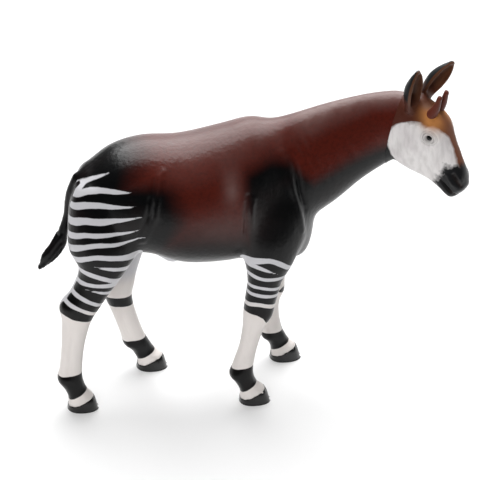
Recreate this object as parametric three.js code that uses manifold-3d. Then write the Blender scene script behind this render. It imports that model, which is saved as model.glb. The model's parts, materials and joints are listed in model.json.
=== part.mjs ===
// A moulded toy figure of an okapi in mid walk, its head turned to its right.
// Millimetres, +Z up. The figure faces +X and its right side is -Y.

import * as THREE from 'three';
import { ParametricGeometry } from 'three/addons/geometries/ParametricGeometry.js';
import { mergeVertices } from 'three/addons/utils/BufferGeometryUtils.js';
import Module from 'manifold-3d';

const wasm = await Module();
wasm.setup();

const LEFT = 1;
const RIGHT = -1;
const X = new THREE.Vector3(1, 0, 0);
const Y = new THREE.Vector3(0, 1, 0);
const Z = new THREE.Vector3(0, 0, 1);

// Gap between two pieces that meet, and the reach of a cutting block.
const SEAM = 0.3;
const REACH = 60;

// Rows in the dome that closes each end of a swept body.
const DOME_ROWS = 4;

// Trunk: upright sections along X, from the rump to the shoulders.
const TRUNK = [
	{ x: 3.5, z: 62, side: 11.0, up: 11.5, down: 12.5 },
	{ x: 11, z: 62.5, side: 15.0, up: 16.0, down: 16.0 },
	{ x: 20, z: 63.5, side: 16.5, up: 17.3, down: 17.0 },
	{ x: 31, z: 62, side: 17.0, up: 18.8, down: 19.4 },
	{ x: 43, z: 62.5, side: 16.7, up: 21.0, down: 20.2 },
	{ x: 53, z: 65, side: 15.2, up: 21.6, down: 21.0 },
	{ x: 60, z: 62, side: 13.0, up: 22.0, down: 20.0 },
	{ x: 64.5, z: 56.5, side: 10.2, up: 18.0, down: 15.2 }
];
const RUMP_DOME = 4.2;
const BREAST_DOME = 5.5;

// Sheath: a low bump under the belly.
const SHEATH_AT = new THREE.Vector3(28.5, 0, 43.8);
const SHEATH_HALF = new THREE.Vector3(4.6, 2.2, 2.9);

// Neck: sections square to its path, from inside the shoulders to behind the jaw.
const NECK = [
	{ x: 57, y: 0, z: 66, side: 13.0, up: 20.2, down: 16.0 },
	{ x: 68, y: 0, z: 71, side: 10.2, up: 17.5, down: 14.6 },
	{ x: 78, y: -0.7, z: 76.4, side: 7.8, up: 14.6, down: 12.0 },
	{ x: 87, y: -2.3, z: 81.2, side: 6.4, up: 12.4, down: 10.3 },
	{ x: 94, y: -4.6, z: 84.8, side: 6.0, up: 10.6, down: 9.0 },
	{ x: 98, y: -6.6, z: 86.6, side: 5.4, up: 9.2, down: 7.0 }
];

// Where the neck is parted from the trunk and the head from the neck, and how those cuts are turned.
const NECK_CUT_AT = new THREE.Vector3(70, 0, 71);
const NECK_CUT = new THREE.Euler(0, THREE.MathUtils.degToRad(-27), 0);
const HEAD_CUT_AT = new THREE.Vector3(94.2, -4.5, 85);
const HEAD_CUT = new THREE.Euler(0, THREE.MathUtils.degToRad(12), THREE.MathUtils.degToRad(-28), 'ZYX');

// Head: its own frame has its origin inside the skull, x along the face and z out of the forehead.
const HEAD_AT = new THREE.Vector3(98.3, -6.0, 85.9);
const HEAD_TURN = THREE.MathUtils.degToRad(-35);
const HEAD_DROP = THREE.MathUtils.degToRad(50);
const HEAD = [
	{ x: -3.0, z: 1.0, side: 5.6, up: 7.6, down: 8.4 },
	{ x: 1.5, z: 0, side: 6.9, up: 10.2, down: 11.0 },
	{ x: 6.0, z: 0, side: 6.9, up: 10.3, down: 11.8 },
	{ x: 11, z: 0, side: 5.2, up: 8.8, down: 10.0 },
	{ x: 16, z: 0, side: 4.1, up: 7.3, down: 6.6 },
	{ x: 21, z: 0, side: 4.1, up: 5.5, down: 4.2 },
	{ x: 23.5, z: 0, side: 3.6, up: 4.1, down: 3.4 }
];
const SKULL_DOME = 4.5;
const MUZZLE_DOME = 1.8;

// Legs: level sections from inside the trunk down to the coronet. Each leg's own piece starts just
// below the belly.
const LEG_TOP = 41.2;
const LEG_APART = 12;
const BELOW = 5;
const LEG_HIND_RIGHT = [
	{ x: 8.8, y: -4.8, z: 69, side: 6.4, up: 10.0, down: 9.8 },
	{ x: 8.0, y: -5.6, z: 63, side: 8.0, up: 10.5, down: 10.8 },
	{ x: 7.6, y: -8.6, z: 52, side: 7.4, up: 10.2, down: 10.9 },
	{ x: 6.6, y: -9.4, z: 45, side: 6.2, up: 7.6, down: 7.0 },
	{ x: 3.6, y: -9.8, z: 38.5, side: 5.0, up: 6.2, down: 6.0 },
	{ x: 0.6, y: -10.0, z: 33, side: 4.3, up: 5.4, down: 6.2 },
	{ x: -1.2, y: -10.2, z: 27.5, side: 3.5, up: 4.2, down: 4.3 },
	{ x: -2.3, y: -10.6, z: 20, side: 2.9, up: 3.4, down: 3.4 },
	{ x: -2.9, y: -11.1, z: 13.5, side: 2.9, up: 3.3, down: 3.4 },
	{ x: -3.1, y: -11.4, z: 9.6, side: 3.4, up: 3.6, down: 3.7 },
	{ x: -1.7, y: -11.6, z: 6.4, side: 3.1, up: 3.4, down: 3.2 },
	{ x: 0.0, y: -11.6, z: 3.6, side: 3.6, up: 4.0, down: 3.6 }
];
const LEG_HIND_LEFT = [
	{ x: 10.6, y: 4.8, z: 69, side: 6.4, up: 10.0, down: 9.6 },
	{ x: 10.0, y: 5.6, z: 63, side: 8.0, up: 10.5, down: 10.0 },
	{ x: 12.5, y: 8.4, z: 51, side: 7.4, up: 9.8, down: 10.4 },
	{ x: 13.5, y: 9.0, z: 43, side: 6.2, up: 7.8, down: 8.0 },
	{ x: 13.6, y: 9.2, z: 36, side: 5.0, up: 5.8, down: 6.0 },
	{ x: 13.2, y: 9.4, z: 29.5, side: 4.3, up: 4.6, down: 5.6 },
	{ x: 13.6, y: 9.6, z: 24.5, side: 3.5, up: 3.8, down: 4.2 },
	{ x: 15.4, y: 10.2, z: 18, side: 2.9, up: 3.5, down: 3.5 },
	{ x: 17.4, y: 10.9, z: 12, side: 2.9, up: 3.5, down: 3.5 },
	{ x: 18.9, y: 11.3, z: 8.4, side: 3.4, up: 3.8, down: 3.8 },
	{ x: 20.8, y: 11.6, z: 5.8, side: 3.1, up: 3.5, down: 3.4 },
	{ x: 22.6, y: 11.6, z: 3.4, side: 3.6, up: 4.0, down: 3.8 }
];
const LEG_FORE_RIGHT = [
	{ x: 55.0, y: -6.8, z: 62, side: 8.0, up: 12.0, down: 10.0 },
	{ x: 54.8, y: -8.6, z: 53, side: 7.0, up: 12.0, down: 7.8 },
	{ x: 54.6, y: -10.0, z: 45.5, side: 5.4, up: 8.4, down: 5.8 },
	{ x: 54.2, y: -10.6, z: 39, side: 4.6, up: 5.6, down: 5.0 },
	{ x: 53.2, y: -11.0, z: 33, side: 4.2, up: 4.8, down: 4.8 },
	{ x: 52.2, y: -11.2, z: 28.5, side: 4.0, up: 4.3, down: 4.3 },
	{ x: 50.8, y: -11.6, z: 23.5, side: 3.2, up: 3.2, down: 3.2 },
	{ x: 49.4, y: -12.0, z: 18, side: 2.7, up: 2.8, down: 2.8 },
	{ x: 47.8, y: -12.5, z: 12.5, side: 2.9, up: 3.1, down: 3.1 },
	{ x: 47.3, y: -12.7, z: 9.2, side: 3.3, up: 3.4, down: 3.4 },
	{ x: 48.6, y: -12.8, z: 6.2, side: 3.0, up: 3.2, down: 3.1 },
	{ x: 50.4, y: -12.8, z: 3.6, side: 3.5, up: 3.9, down: 3.5 }
];
const LEG_FORE_LEFT = [
	{ x: 56.0, y: 6.8, z: 62, side: 8.0, up: 12.0, down: 10.0 },
	{ x: 57.0, y: 8.6, z: 53, side: 7.0, up: 10.6, down: 7.8 },
	{ x: 57.8, y: 10.0, z: 45, side: 5.4, up: 7.2, down: 5.8 },
	{ x: 58.2, y: 10.6, z: 36, side: 4.6, up: 5.2, down: 5.0 },
	{ x: 58.3, y: 11.0, z: 29, side: 4.2, up: 4.6, down: 4.6 },
	{ x: 58.2, y: 11.3, z: 24.5, side: 4.0, up: 4.2, down: 4.2 },
	{ x: 58.1, y: 11.7, z: 19.5, side: 3.2, up: 3.1, down: 3.1 },
	{ x: 58.4, y: 12.1, z: 14.5, side: 2.7, up: 2.9, down: 2.9 },
	{ x: 59.0, y: 12.6, z: 10, side: 2.9, up: 3.1, down: 3.1 },
	{ x: 59.6, y: 12.8, z: 7.8, side: 3.3, up: 3.5, down: 3.4 },
	{ x: 61.0, y: 12.9, z: 5.6, side: 3.0, up: 3.3, down: 3.1 },
	{ x: 62.4, y: 12.9, z: 3.4, side: 3.5, up: 3.9, down: 3.5 }
];

// Hooves: centres of the soles, and one hoof's level sections from the coronet down to the sole.
const SOLES = {
	hind_right: { x: 0, y: -11.6 },
	hind_left: { x: 22.9, y: 11.6 },
	fore_right: { x: 50.6, y: -12.8 },
	fore_left: { x: 62.6, y: 12.9 }
};
const HOOF = [
	{ x: -0.4, z: 4.4, side: 3.6, up: 3.7, down: 3.5 },
	{ x: 0, z: 2.4, side: 4.0, up: 4.3, down: 3.9 },
	{ x: 0.1, z: -1.0, side: 4.3, up: 5.1, down: 4.2 }
];
// The hoof meets the leg on a slant: high over the toe, low at the heel.
const CORONET = 2.7;
const CORONET_TILT = THREE.MathUtils.degToRad(-27);
const HOOF_BLOCK = [24, 14, 12];
// Cleft: a wedge cut into the toe.
const CLEFT_AT = 6.2;
const CLEFT_HALF_WIDE = 0.54;
const CLEFT_HALF_LONG = 2.2;
const CLEFT_HIGH = 14;

// Tail: a cord that lies against the rump and ends in a flat, bent tuft.
const TAIL_CUT = 60;
const TUFT_TOP = 51.0;
const TAIL = [
	{ x: 0.9, y: 0, z: 71, side: 1.9, up: 1.9, down: 1.9 },
	{ x: -1.6, y: 0, z: 65, side: 1.6, up: 1.6, down: 1.6 },
	{ x: -2.7, y: 0, z: 58, side: 1.3, up: 1.25, down: 1.25 },
	{ x: -4.0, y: 0, z: 52.5, side: 1.4, up: 1.6, down: 1.6 }
];
const TUFT = [
	{ x: -4.0, y: 0, z: 52.5, side: 1.4, up: 1.5, down: 1.5 },
	{ x: -5.3, y: 0, z: 48.5, side: 1.8, up: 2.5, down: 2.3 },
	{ x: -7.6, y: 0, z: 45, side: 1.7, up: 2.7, down: 2.4 },
	{ x: -10.4, y: 0, z: 41.3, side: 0.9, up: 1.2, down: 1.2 }
];

// Ears, in the head's frame: root, axis, and the way the open side looks. The right ear is laid
// further back than the left.
const EAR_SET = {
	left: {
		root: new THREE.Vector3(-4.2, 4.5, 6.8),
		axis: new THREE.Vector3(-3.0, 3.1, 9.0).normalize(),
		open: new THREE.Vector3(0.83, -0.39, 0.41)
	},
	right: {
		root: new THREE.Vector3(-4.2, -4.5, 6.8),
		axis: new THREE.Vector3(-6.4, -0.9, 7.7).normalize(),
		open: new THREE.Vector3(0.77, -0.08, 0.64)
	}
};
const EAR = [
	{ x: -1.5, side: 2.2, up: 1.2, down: 2.0 },
	{ x: 2.5, side: 3.2, up: 1.3, down: 3.0 },
	{ x: 6.3, side: 3.6, up: 1.3, down: 3.1 },
	{ x: 9.8, side: 2.7, up: 1.0, down: 2.0 },
	{ x: 12.2, side: 1.2, up: 0.6, down: 0.8 }
];
// The hollow of an ear: how far it is let out of the open side and in from the edges, and where its
// closed root ends.
const EAR_WALL = 0.9;
const HOLLOW_OUT = 0.4;
const HOLLOW_IN = 0.5;
const HOLLOW_FROM = 1.2;

// Horns, in the head's frame: blunt cones that lean back, for the left one.
const HORN = [
	{ x: 1.2, y: 2.3, z: 8.4, side: 1.8, up: 1.8, down: 1.8 },
	{ x: 0, y: 2.2, z: 11.8, side: 1.3, up: 1.3, down: 1.3 },
	{ x: -1.9, y: 2.1, z: 14.8, side: 0.85, up: 0.85, down: 0.85 }
];

// Eyes, in the head's frame, for the left one: a ball inside a raised ring of lids that lies on the
// cheek.
const EYE_AT = new THREE.Vector3(6.1, 5.1, 6.0);
const EYE_RADIUS = 1.15;
const LID_RADIUS = 1.6;
const LID_HALF = 0.5;
const LID_OUT = 0.75;
const CHEEK_LEAN = THREE.MathUtils.degToRad(18);

// Mouth: a groove round the muzzle, from the left corner to the right one. Nostril: the left hollow.
const MOUTH = [
	{ x: 18.2, y: 4.5, z: -1.2 },
	{ x: 20.4, y: 4.3, z: -0.6 },
	{ x: 23.0, y: 3.6, z: 0.2 },
	{ x: 25.2, y: 0, z: 0.9 },
	{ x: 23.0, y: -3.6, z: 0.2 },
	{ x: 20.4, y: -4.3, z: -0.6 },
	{ x: 18.2, y: -4.5, z: -1.2 }
];
const MOUTH_DEEP = 0.7;
const MOUTH_HIGH = 0.3;
const NOSTRIL_AT = new THREE.Vector3(20.9, 3.2, 4.2);
const NOSTRIL_HALF = new THREE.Vector3(1.8, 0.9, 0.55);
const NOSTRIL_TURN = new THREE.Euler(0, THREE.MathUtils.degToRad(12), THREE.MathUtils.degToRad(-22));

// Finishes of the painted plastic.
const PAINT = {
	maroon: { color: 0x4a1b14, roughness: 0.42, metalness: 0 },
	black: { color: 0x16110f, roughness: 0.38, metalness: 0 },
	white: { color: 0xe3ddd8, roughness: 0.5, metalness: 0 },
	tan: { color: 0x9a5a32, roughness: 0.5, metalness: 0 }
};

// A triangle mesh's solid, once its shared corners are merged and its empty faces dropped.
function solidOf(geometry) {
	geometry.deleteAttribute('normal');
	geometry.deleteAttribute('uv');
	const merged = mergeVertices(geometry, 1e-4);
	const index = merged.index.array;
	const triVerts = [];
	for (let i = 0; i < index.length; i += 3) {
		const [a, b, c] = [index[i], index[i + 1], index[i + 2]];
		if (a !== b && b !== c && c !== a) triVerts.push(a, b, c);
	}
	return new wasm.Manifold(new wasm.Mesh({
		numProp: 3,
		vertProperties: new Float32Array(merged.attributes.position.array),
		triVerts: new Uint32Array(triVerts)
	}));
}

// A body swept through its stations, with level, upright or path-square sections. Each section is a
// rounded box: side across, up and down along its second direction. A dome closes each end.
function sweep(stations, { side, up, around = 20, perStation = 3, square = 2.2, domes = [1, 1] }) {
	const centres = new THREE.CatmullRomCurve3(
		stations.map((s) => new THREE.Vector3(s.x, s.y ?? 0, s.z ?? 0)), false, 'catmullrom', 0.5
	);
	const sizes = new THREE.CatmullRomCurve3(
		stations.map((s) => new THREE.Vector3(s.side, s.up, s.down)), false, 'catmullrom', 0.5
	);
	const body = perStation * (stations.length - 1);
	const rows = body + 2 * DOME_ROWS;
	const surface = (u, v, target) => {
		const row = Math.round(v * rows);
		const t = THREE.MathUtils.clamp((row - DOME_ROWS) / body, 0, 1);
		const before = Math.max(DOME_ROWS - row, 0) / DOME_ROWS;
		const after = Math.max(row - DOME_ROWS - body, 0) / DOME_ROWS;
		const shrink = Math.cos((before + after) * Math.PI / 2);
		const past = domes[1] * Math.sin(after * Math.PI / 2) - domes[0] * Math.sin(before * Math.PI / 2);
		const way = centres.getTangent(t);
		const across = side ?? new THREE.Vector3().crossVectors(Z, way).normalize();
		const second = up ?? new THREE.Vector3().crossVectors(way, across);
		const size = sizes.getPoint(t);
		const c = Math.cos(u * 2 * Math.PI);
		const s = Math.sin(u * 2 * Math.PI);
		const reach = Math.pow(Math.pow(Math.abs(c), square) + Math.pow(Math.abs(s), square), -1 / square);
		const height = s > 0 ? size.y : size.z;
		target.copy(centres.getPoint(t));
		target.addScaledVector(across, shrink * size.x * reach * c);
		target.addScaledVector(second, shrink * height * reach * s);
		target.addScaledVector(new THREE.Vector3().crossVectors(across, second), past);
	};
	return solidOf(new ParametricGeometry(surface, around, rows));
}

// A cutting block, its middle and turn given.
function block(size, at, turn = new THREE.Euler()) {
	const geometry = new THREE.BoxGeometry(...size);
	geometry.applyMatrix4(new THREE.Matrix4().makeRotationFromEuler(turn).setPosition(...at));
	return solidOf(geometry);
}

// The solid's largest closed surface.
function largest(solid) {
	const bodies = solid.decompose();
	return bodies.reduce((a, b) => (b.volume() > a.volume() ? b : a));
}

// What a block takes out of a solid, and what is left beyond a seam round that block.
function part(solid, size, at, turn) {
	const grown = size.map((length) => length + 2 * SEAM);
	return [
		largest(solid.intersect(block(size, at, turn))),
		largest(solid.subtract(block(grown, at, turn)))
	];
}

function move(solid, matrix) {
	return solid.transform(matrix.elements);
}

function toGeometry(solid) {
	const mesh = solid.getMesh();
	const geometry = new THREE.BufferGeometry();
	geometry.setAttribute('position', new THREE.BufferAttribute(mesh.vertProperties, 3));
	geometry.setIndex(new THREE.BufferAttribute(mesh.triVerts, 1));
	geometry.computeVertexNormals();
	return geometry;
}

const group = new THREE.Group();

function add(name, solid, paint) {
	const mesh = new THREE.Mesh(toGeometry(solid), new THREE.MeshStandardMaterial(PAINT[paint]));
	mesh.name = name;
	group.add(mesh);
}

// The head's frame in the figure's own.
const headFrame = new THREE.Matrix4()
	.makeRotationFromEuler(new THREE.Euler(0, HEAD_DROP, HEAD_TURN, 'ZYX'))
	.setPosition(HEAD_AT);

function makeEar(side) {
	const { root: foot, axis } = EAR_SET[side];
	const open = EAR_SET[side].open.clone();
	open.addScaledVector(axis, -open.dot(axis)).normalize();
	const across = new THREE.Vector3().crossVectors(open, axis);
	const frame = new THREE.Matrix4().makeBasis(axis, across, open).setPosition(foot);
	const leaf = { side: Y, up: Z, around: 18, square: 2 };
	const outer = sweep(EAR, { ...leaf, domes: [0.8, 0.8] });
	const inside = EAR.map((s) => ({
		x: s.x,
		z: s.up + HOLLOW_OUT,
		side: s.side - HOLLOW_IN,
		up: s.up,
		down: s.up + s.down - EAR_WALL + HOLLOW_OUT
	}));
	const root = block([10, 20, 20], [HOLLOW_FROM - 5, 0, 0]);
	const hollow = sweep(inside, { ...leaf, domes: [-0.6, -0.4] }).subtract(root);
	return move(outer.subtract(hollow), frame.premultiply(headFrame));
}

function makeHorn(hand) {
	const stations = HORN.map((s) => ({ ...s, y: s.y * hand }));
	const cone = { side: Y, up: X.clone().negate(), around: 12, perStation: 2, domes: [0.5, 0.6], square: 2 };
	return move(sweep(stations, cone), headFrame);
}

// The eyeball, its radius grown by a gap.
function makeEye(hand, gap) {
	const ball = new THREE.IcosahedronGeometry(EYE_RADIUS + gap, 3);
	ball.translate(EYE_AT.x, EYE_AT.y * hand, EYE_AT.z);
	return move(solidOf(ball), headFrame);
}

// The ring of lids that lies on the cheek round an eye.
function makeLids(hand) {
	const ring = new THREE.TorusGeometry(LID_RADIUS, LID_HALF, 8, 24);
	ring.rotateX(Math.PI / 2 + hand * CHEEK_LEAN);
	ring.translate(EYE_AT.x, (EYE_AT.y + LID_OUT) * hand, EYE_AT.z);
	return move(solidOf(ring), headFrame);
}

function makeMouth() {
	const stations = MOUTH.map((s) => ({ ...s, side: MOUTH_DEEP, up: MOUTH_HIGH, down: MOUTH_HIGH }));
	return move(sweep(stations, { around: 8, domes: [0.4, 0.4], square: 2 }), headFrame);
}

function makeNostril(hand) {
	const hollow = new THREE.SphereGeometry(1, 14, 8);
	const turn = new THREE.Euler(NOSTRIL_TURN.x, NOSTRIL_TURN.y, NOSTRIL_TURN.z * hand);
	hollow.scale(...NOSTRIL_HALF.toArray());
	hollow.applyMatrix4(new THREE.Matrix4().makeRotationFromEuler(turn));
	hollow.translate(NOSTRIL_AT.x, NOSTRIL_AT.y * hand, NOSTRIL_AT.z);
	return move(solidOf(hollow), headFrame);
}

// One cloven hoof, up to inside the pastern.
function makeHoof(sole) {
	const stations = HOOF.map((s) => ({ ...s, x: s.x + sole.x, y: sole.y }));
	const form = sweep(stations, { side: Y, up: X, around: 20, perStation: 2, domes: [0.8, 0.5], square: 2.3 });
	const cleft = new THREE.CylinderGeometry(1, 1, CLEFT_HIGH, 3);
	cleft.rotateX(Math.PI / 2);
	cleft.scale(CLEFT_HALF_LONG, CLEFT_HALF_WIDE, 1);
	cleft.rotateZ(Math.PI);
	cleft.translate(sole.x + CLEFT_AT, sole.y, 0);
	return form.subtract(solidOf(cleft));
}

// A leg with its hoof, parted along the slanted coronet: the hoof, then the leg.
function partHoof(leg, sole) {
	const whole = leg.add(makeHoof(sole)).subtract(floorBlock(sole));
	const turn = new THREE.Euler(0, CORONET_TILT, 0);
	const middle = new THREE.Vector3(sole.x, sole.y, CORONET);
	middle.addScaledVector(Z.clone().applyEuler(turn), -HOOF_BLOCK[2] / 2);
	return part(whole, HOOF_BLOCK, middle.toArray(), turn);
}

// What lies below the ground under a hoof.
function floorBlock(sole) {
	return block([30, 22, 6], [sole.x, sole.y, -3]);
}

const limb = { side: Y, up: X, around: 16, domes: [3, 0.6] };
const legs = {
	hind_right: sweep(LEG_HIND_RIGHT, limb),
	hind_left: sweep(LEG_HIND_LEFT, limb),
	fore_right: sweep(LEG_FORE_RIGHT, limb),
	fore_left: sweep(LEG_FORE_LEFT, limb)
};

const trunk = sweep(TRUNK, { side: Y, up: Z, around: 28, domes: [RUMP_DOME, BREAST_DOME] });
const neck = sweep(NECK, { around: 24, domes: [3, 3] });
const skullForm = { side: Y, up: Z, around: 24, domes: [SKULL_DOME, MUZZLE_DOME], square: 2.4 };
const skull = move(sweep(HEAD, skullForm), headFrame);
const tail = sweep(TAIL, { side: Y, up: X, around: 10, perStation: 2, domes: [1, 0.3], square: 2 });
const tuft = sweep(TUFT, { side: Y, up: X, around: 10, perStation: 2, domes: [0.3, 1.2], square: 2 });

const sheathForm = new THREE.SphereGeometry(1, 16, 10);
sheathForm.scale(...SHEATH_HALF.toArray());
sheathForm.translate(...SHEATH_AT.toArray());

// The tail is parted below its root, which stays on the rump.
const pieces = {};
let tailStub;
[pieces.tail, tailStub] = part(tail.add(tuft), [16, 8, 40], [-7, 0, TAIL_CUT - 20]);
[pieces.tuft, pieces.tail] = part(pieces.tail, [14, 8, 20], [-8, 0, TUFT_TOP - 10]);

let body = trunk.add(neck).add(skull).add(tailStub).add(solidOf(sheathForm));
for (const leg of Object.values(legs)) body = body.add(leg);

// Part the body into its pieces, each by a block from the cut outwards.
for (const hand of [LEFT, RIGHT]) {
	const side = hand === LEFT ? 'left' : 'right';
	for (const [place, from, to] of [['fore', 40, 72], ['hind', -10, 32]]) {
		const size = [to - from, 2 * LEG_APART, LEG_TOP + BELOW];
		const at = [(from + to) / 2, hand * (LEG_APART + SEAM / 2), (LEG_TOP - BELOW) / 2];
		[pieces[`${place}_${side}`], body] = part(body, size, at);
	}
}

const neckMiddle = NECK_CUT_AT.clone().addScaledVector(X.clone().applyEuler(NECK_CUT), REACH / 2);
[pieces.neck, body] = part(body, [REACH, REACH, REACH], neckMiddle.toArray(), NECK_CUT);

const headMiddle = HEAD_CUT_AT.clone().addScaledVector(X.clone().applyEuler(HEAD_CUT), REACH / 2);
[pieces.head, pieces.neck] = part(pieces.neck, [REACH, REACH, REACH], headMiddle.toArray(), HEAD_CUT);

for (const hand of [LEFT, RIGHT]) {
	const side = hand === LEFT ? 'left' : 'right';
	pieces[`ear_${side}`] = makeEar(side);
	pieces[`horn_${side}`] = makeHorn(hand);
	pieces.head = pieces.head.add(makeLids(hand)).subtract(makeEye(hand, SEAM)).subtract(makeNostril(hand));
}
pieces.head = largest(pieces.head.subtract(makeMouth()));

add('trunk', body, 'maroon');
add('neck', pieces.neck, 'maroon');
add('head', pieces.head, 'white');
for (const side of ['left', 'right']) {
	const hand = side === 'left' ? LEFT : RIGHT;
	add(`ear_${side}`, largest(pieces[`ear_${side}`].subtract(pieces.head)), 'tan');
	add(`horn_${side}`, largest(pieces[`horn_${side}`].subtract(pieces.head)), 'tan');
	add(`eye_${side}`, makeEye(hand, 0), 'black');
}
add('tail', pieces.tail, 'black');
add('tail_tuft', pieces.tuft, 'black');
for (const place of ['fore_left', 'fore_right', 'hind_left', 'hind_right']) {
	const [hoof, leg] = partHoof(pieces[place], SOLES[place]);
	add(`leg_${place}`, leg, 'white');
	add(`hoof_${place}`, hoof, 'black');
}

// The origin is the middle of the box round the figure, on the ground.
const box = new THREE.Box3().setFromObject(group);
group.position.set(-(box.min.x + box.max.x) / 2, -(box.min.y + box.max.y) / 2, -box.min.z);

export default group;
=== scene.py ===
"""A hand-painted, moulded toy okapi: one skin over its body and one over its head, with its eyes, horns and
hooves, on a pale floor under soft studio light. Forms are worked out in millimetres in the figure's own frame
(x forward from the near hind hoof, y to its left from its middle plane, z up from the floor)."""

import json
from math import cos, pi, radians, sin

import bmesh
import bpy
import numpy as np
from bpy.props import FloatProperty, FloatVectorProperty, PointerProperty
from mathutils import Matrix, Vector


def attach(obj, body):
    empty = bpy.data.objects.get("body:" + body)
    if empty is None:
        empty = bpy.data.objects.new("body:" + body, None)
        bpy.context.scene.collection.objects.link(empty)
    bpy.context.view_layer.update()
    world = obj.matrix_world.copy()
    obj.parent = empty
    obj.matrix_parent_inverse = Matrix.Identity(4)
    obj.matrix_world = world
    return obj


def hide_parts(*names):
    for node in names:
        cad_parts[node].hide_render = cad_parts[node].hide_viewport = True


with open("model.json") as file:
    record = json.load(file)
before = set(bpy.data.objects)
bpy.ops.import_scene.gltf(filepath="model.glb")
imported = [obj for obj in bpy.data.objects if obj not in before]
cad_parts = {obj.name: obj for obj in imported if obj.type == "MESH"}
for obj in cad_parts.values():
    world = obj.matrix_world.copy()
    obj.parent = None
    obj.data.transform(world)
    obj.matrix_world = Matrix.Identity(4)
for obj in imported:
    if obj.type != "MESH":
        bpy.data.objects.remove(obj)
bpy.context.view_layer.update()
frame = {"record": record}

bl_info = {
    "name": "Toy okapi figure",
    "version": (1, 0, 0),
    "blender": (4, 5, 0),
    "location": "View3D > Sidebar > Okapi",
    "description": "Builds a painted toy okapi and its photo studio",
    "category": "Add Mesh",
}

MM = 0.001  # a millimetre, in metres
LEGS = ("fore_left", "fore_right", "hind_left", "hind_right")
HANDS = (("left", 1), ("right", -1))

# Soles of the hooves, x and y.
SOLES = {
    "hind_right": (0.0, -11.6),
    "hind_left": (22.9, 11.6),
    "fore_right": (50.6, -12.8),
    "fore_left": (62.6, 12.9),
}

# Stations of the forms: x, y, z, half size across, half size up or forward, half size down or back.
TRUNK = np.array([
    (3.5, 0, 62, 11.0, 11.5, 12.5),
    (11, 0, 62.5, 15.0, 16.0, 16.0),
    (20, 0, 63.5, 16.5, 17.3, 17.0),
    (31, 0, 62, 17.0, 18.8, 19.4),
    (43, 0, 62.5, 16.7, 21.0, 20.2),
    (53, 0, 65, 15.2, 21.6, 21.0),
    (60, 0, 62, 13.0, 22.0, 20.0),
    (64.5, 0, 56.5, 10.2, 18.0, 15.2),
])
NECK = np.array([
    (57, 0, 66, 13.0, 20.2, 16.0),
    (68, 0, 71, 10.2, 17.5, 14.6),
    (78, -0.7, 76.4, 7.8, 14.6, 12.0),
    (87, -2.3, 81.2, 6.4, 12.4, 10.3),
    (94, -4.6, 84.8, 6.0, 10.6, 9.0),
    (98, -6.6, 86.6, 5.4, 9.2, 7.0),
])
LEG = {
    "hind_right": np.array([
        (8.8, -4.8, 69, 6.4, 10.0, 9.8),
        (8.0, -5.6, 63, 8.0, 10.5, 10.8),
        (7.6, -8.6, 52, 7.4, 10.2, 10.9),
        (6.6, -9.4, 45, 6.2, 7.6, 7.0),
        (3.6, -9.8, 38.5, 5.0, 6.2, 6.0),
        (0.6, -10.0, 33, 4.3, 5.4, 6.2),
        (-1.2, -10.2, 27.5, 3.5, 4.2, 4.3),
        (-2.3, -10.6, 20, 2.9, 3.4, 3.4),
        (-2.9, -11.1, 13.5, 2.9, 3.3, 3.4),
        (-3.1, -11.4, 9.6, 3.4, 3.6, 3.7),
        (-1.7, -11.6, 6.4, 3.1, 3.4, 3.2),
        (0.0, -11.6, 3.6, 3.6, 4.0, 3.6),
    ]),
    "hind_left": np.array([
        (10.6, 4.8, 69, 6.4, 10.0, 9.6),
        (10.0, 5.6, 63, 8.0, 10.5, 10.0),
        (12.5, 8.4, 51, 7.4, 9.8, 10.4),
        (13.5, 9.0, 43, 6.2, 7.8, 8.0),
        (13.6, 9.2, 36, 5.0, 5.8, 6.0),
        (13.2, 9.4, 29.5, 4.3, 4.6, 5.6),
        (13.6, 9.6, 24.5, 3.5, 3.8, 4.2),
        (15.4, 10.2, 18, 2.9, 3.5, 3.5),
        (17.4, 10.9, 12, 2.9, 3.5, 3.5),
        (18.9, 11.3, 8.4, 3.4, 3.8, 3.8),
        (20.8, 11.6, 5.8, 3.1, 3.5, 3.4),
        (22.6, 11.6, 3.4, 3.6, 4.0, 3.8),
    ]),
    "fore_right": np.array([
        (55.0, -6.8, 62, 8.0, 12.0, 10.0),
        (54.8, -8.6, 53, 7.0, 12.0, 7.8),
        (54.6, -10.0, 45.5, 5.4, 8.4, 5.8),
        (54.2, -10.6, 39, 4.6, 5.6, 5.0),
        (53.2, -11.0, 33, 4.2, 4.8, 4.8),
        (52.2, -11.2, 28.5, 4.0, 4.3, 4.3),
        (50.8, -11.6, 23.5, 3.2, 3.2, 3.2),
        (49.4, -12.0, 18, 2.7, 2.8, 2.8),
        (47.8, -12.5, 12.5, 2.9, 3.1, 3.1),
        (47.3, -12.7, 9.2, 3.3, 3.4, 3.4),
        (48.6, -12.8, 6.2, 3.0, 3.2, 3.1),
        (50.4, -12.8, 3.6, 3.5, 3.9, 3.5),
    ]),
    "fore_left": np.array([
        (56.0, 6.8, 62, 8.0, 12.0, 10.0),
        (57.0, 8.6, 53, 7.0, 10.6, 7.8),
        (57.8, 10.0, 45, 5.4, 7.2, 5.8),
        (58.2, 10.6, 36, 4.6, 5.2, 5.0),
        (58.3, 11.0, 29, 4.2, 4.6, 4.6),
        (58.2, 11.3, 24.5, 4.0, 4.2, 4.2),
        (58.1, 11.7, 19.5, 3.2, 3.1, 3.1),
        (58.4, 12.1, 14.5, 2.7, 2.9, 2.9),
        (59.0, 12.6, 10, 2.9, 3.1, 3.1),
        (59.6, 12.8, 7.8, 3.3, 3.5, 3.4),
        (61.0, 12.9, 5.6, 3.0, 3.3, 3.1),
        (62.4, 12.9, 3.4, 3.5, 3.9, 3.5),
    ]),
}
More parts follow.
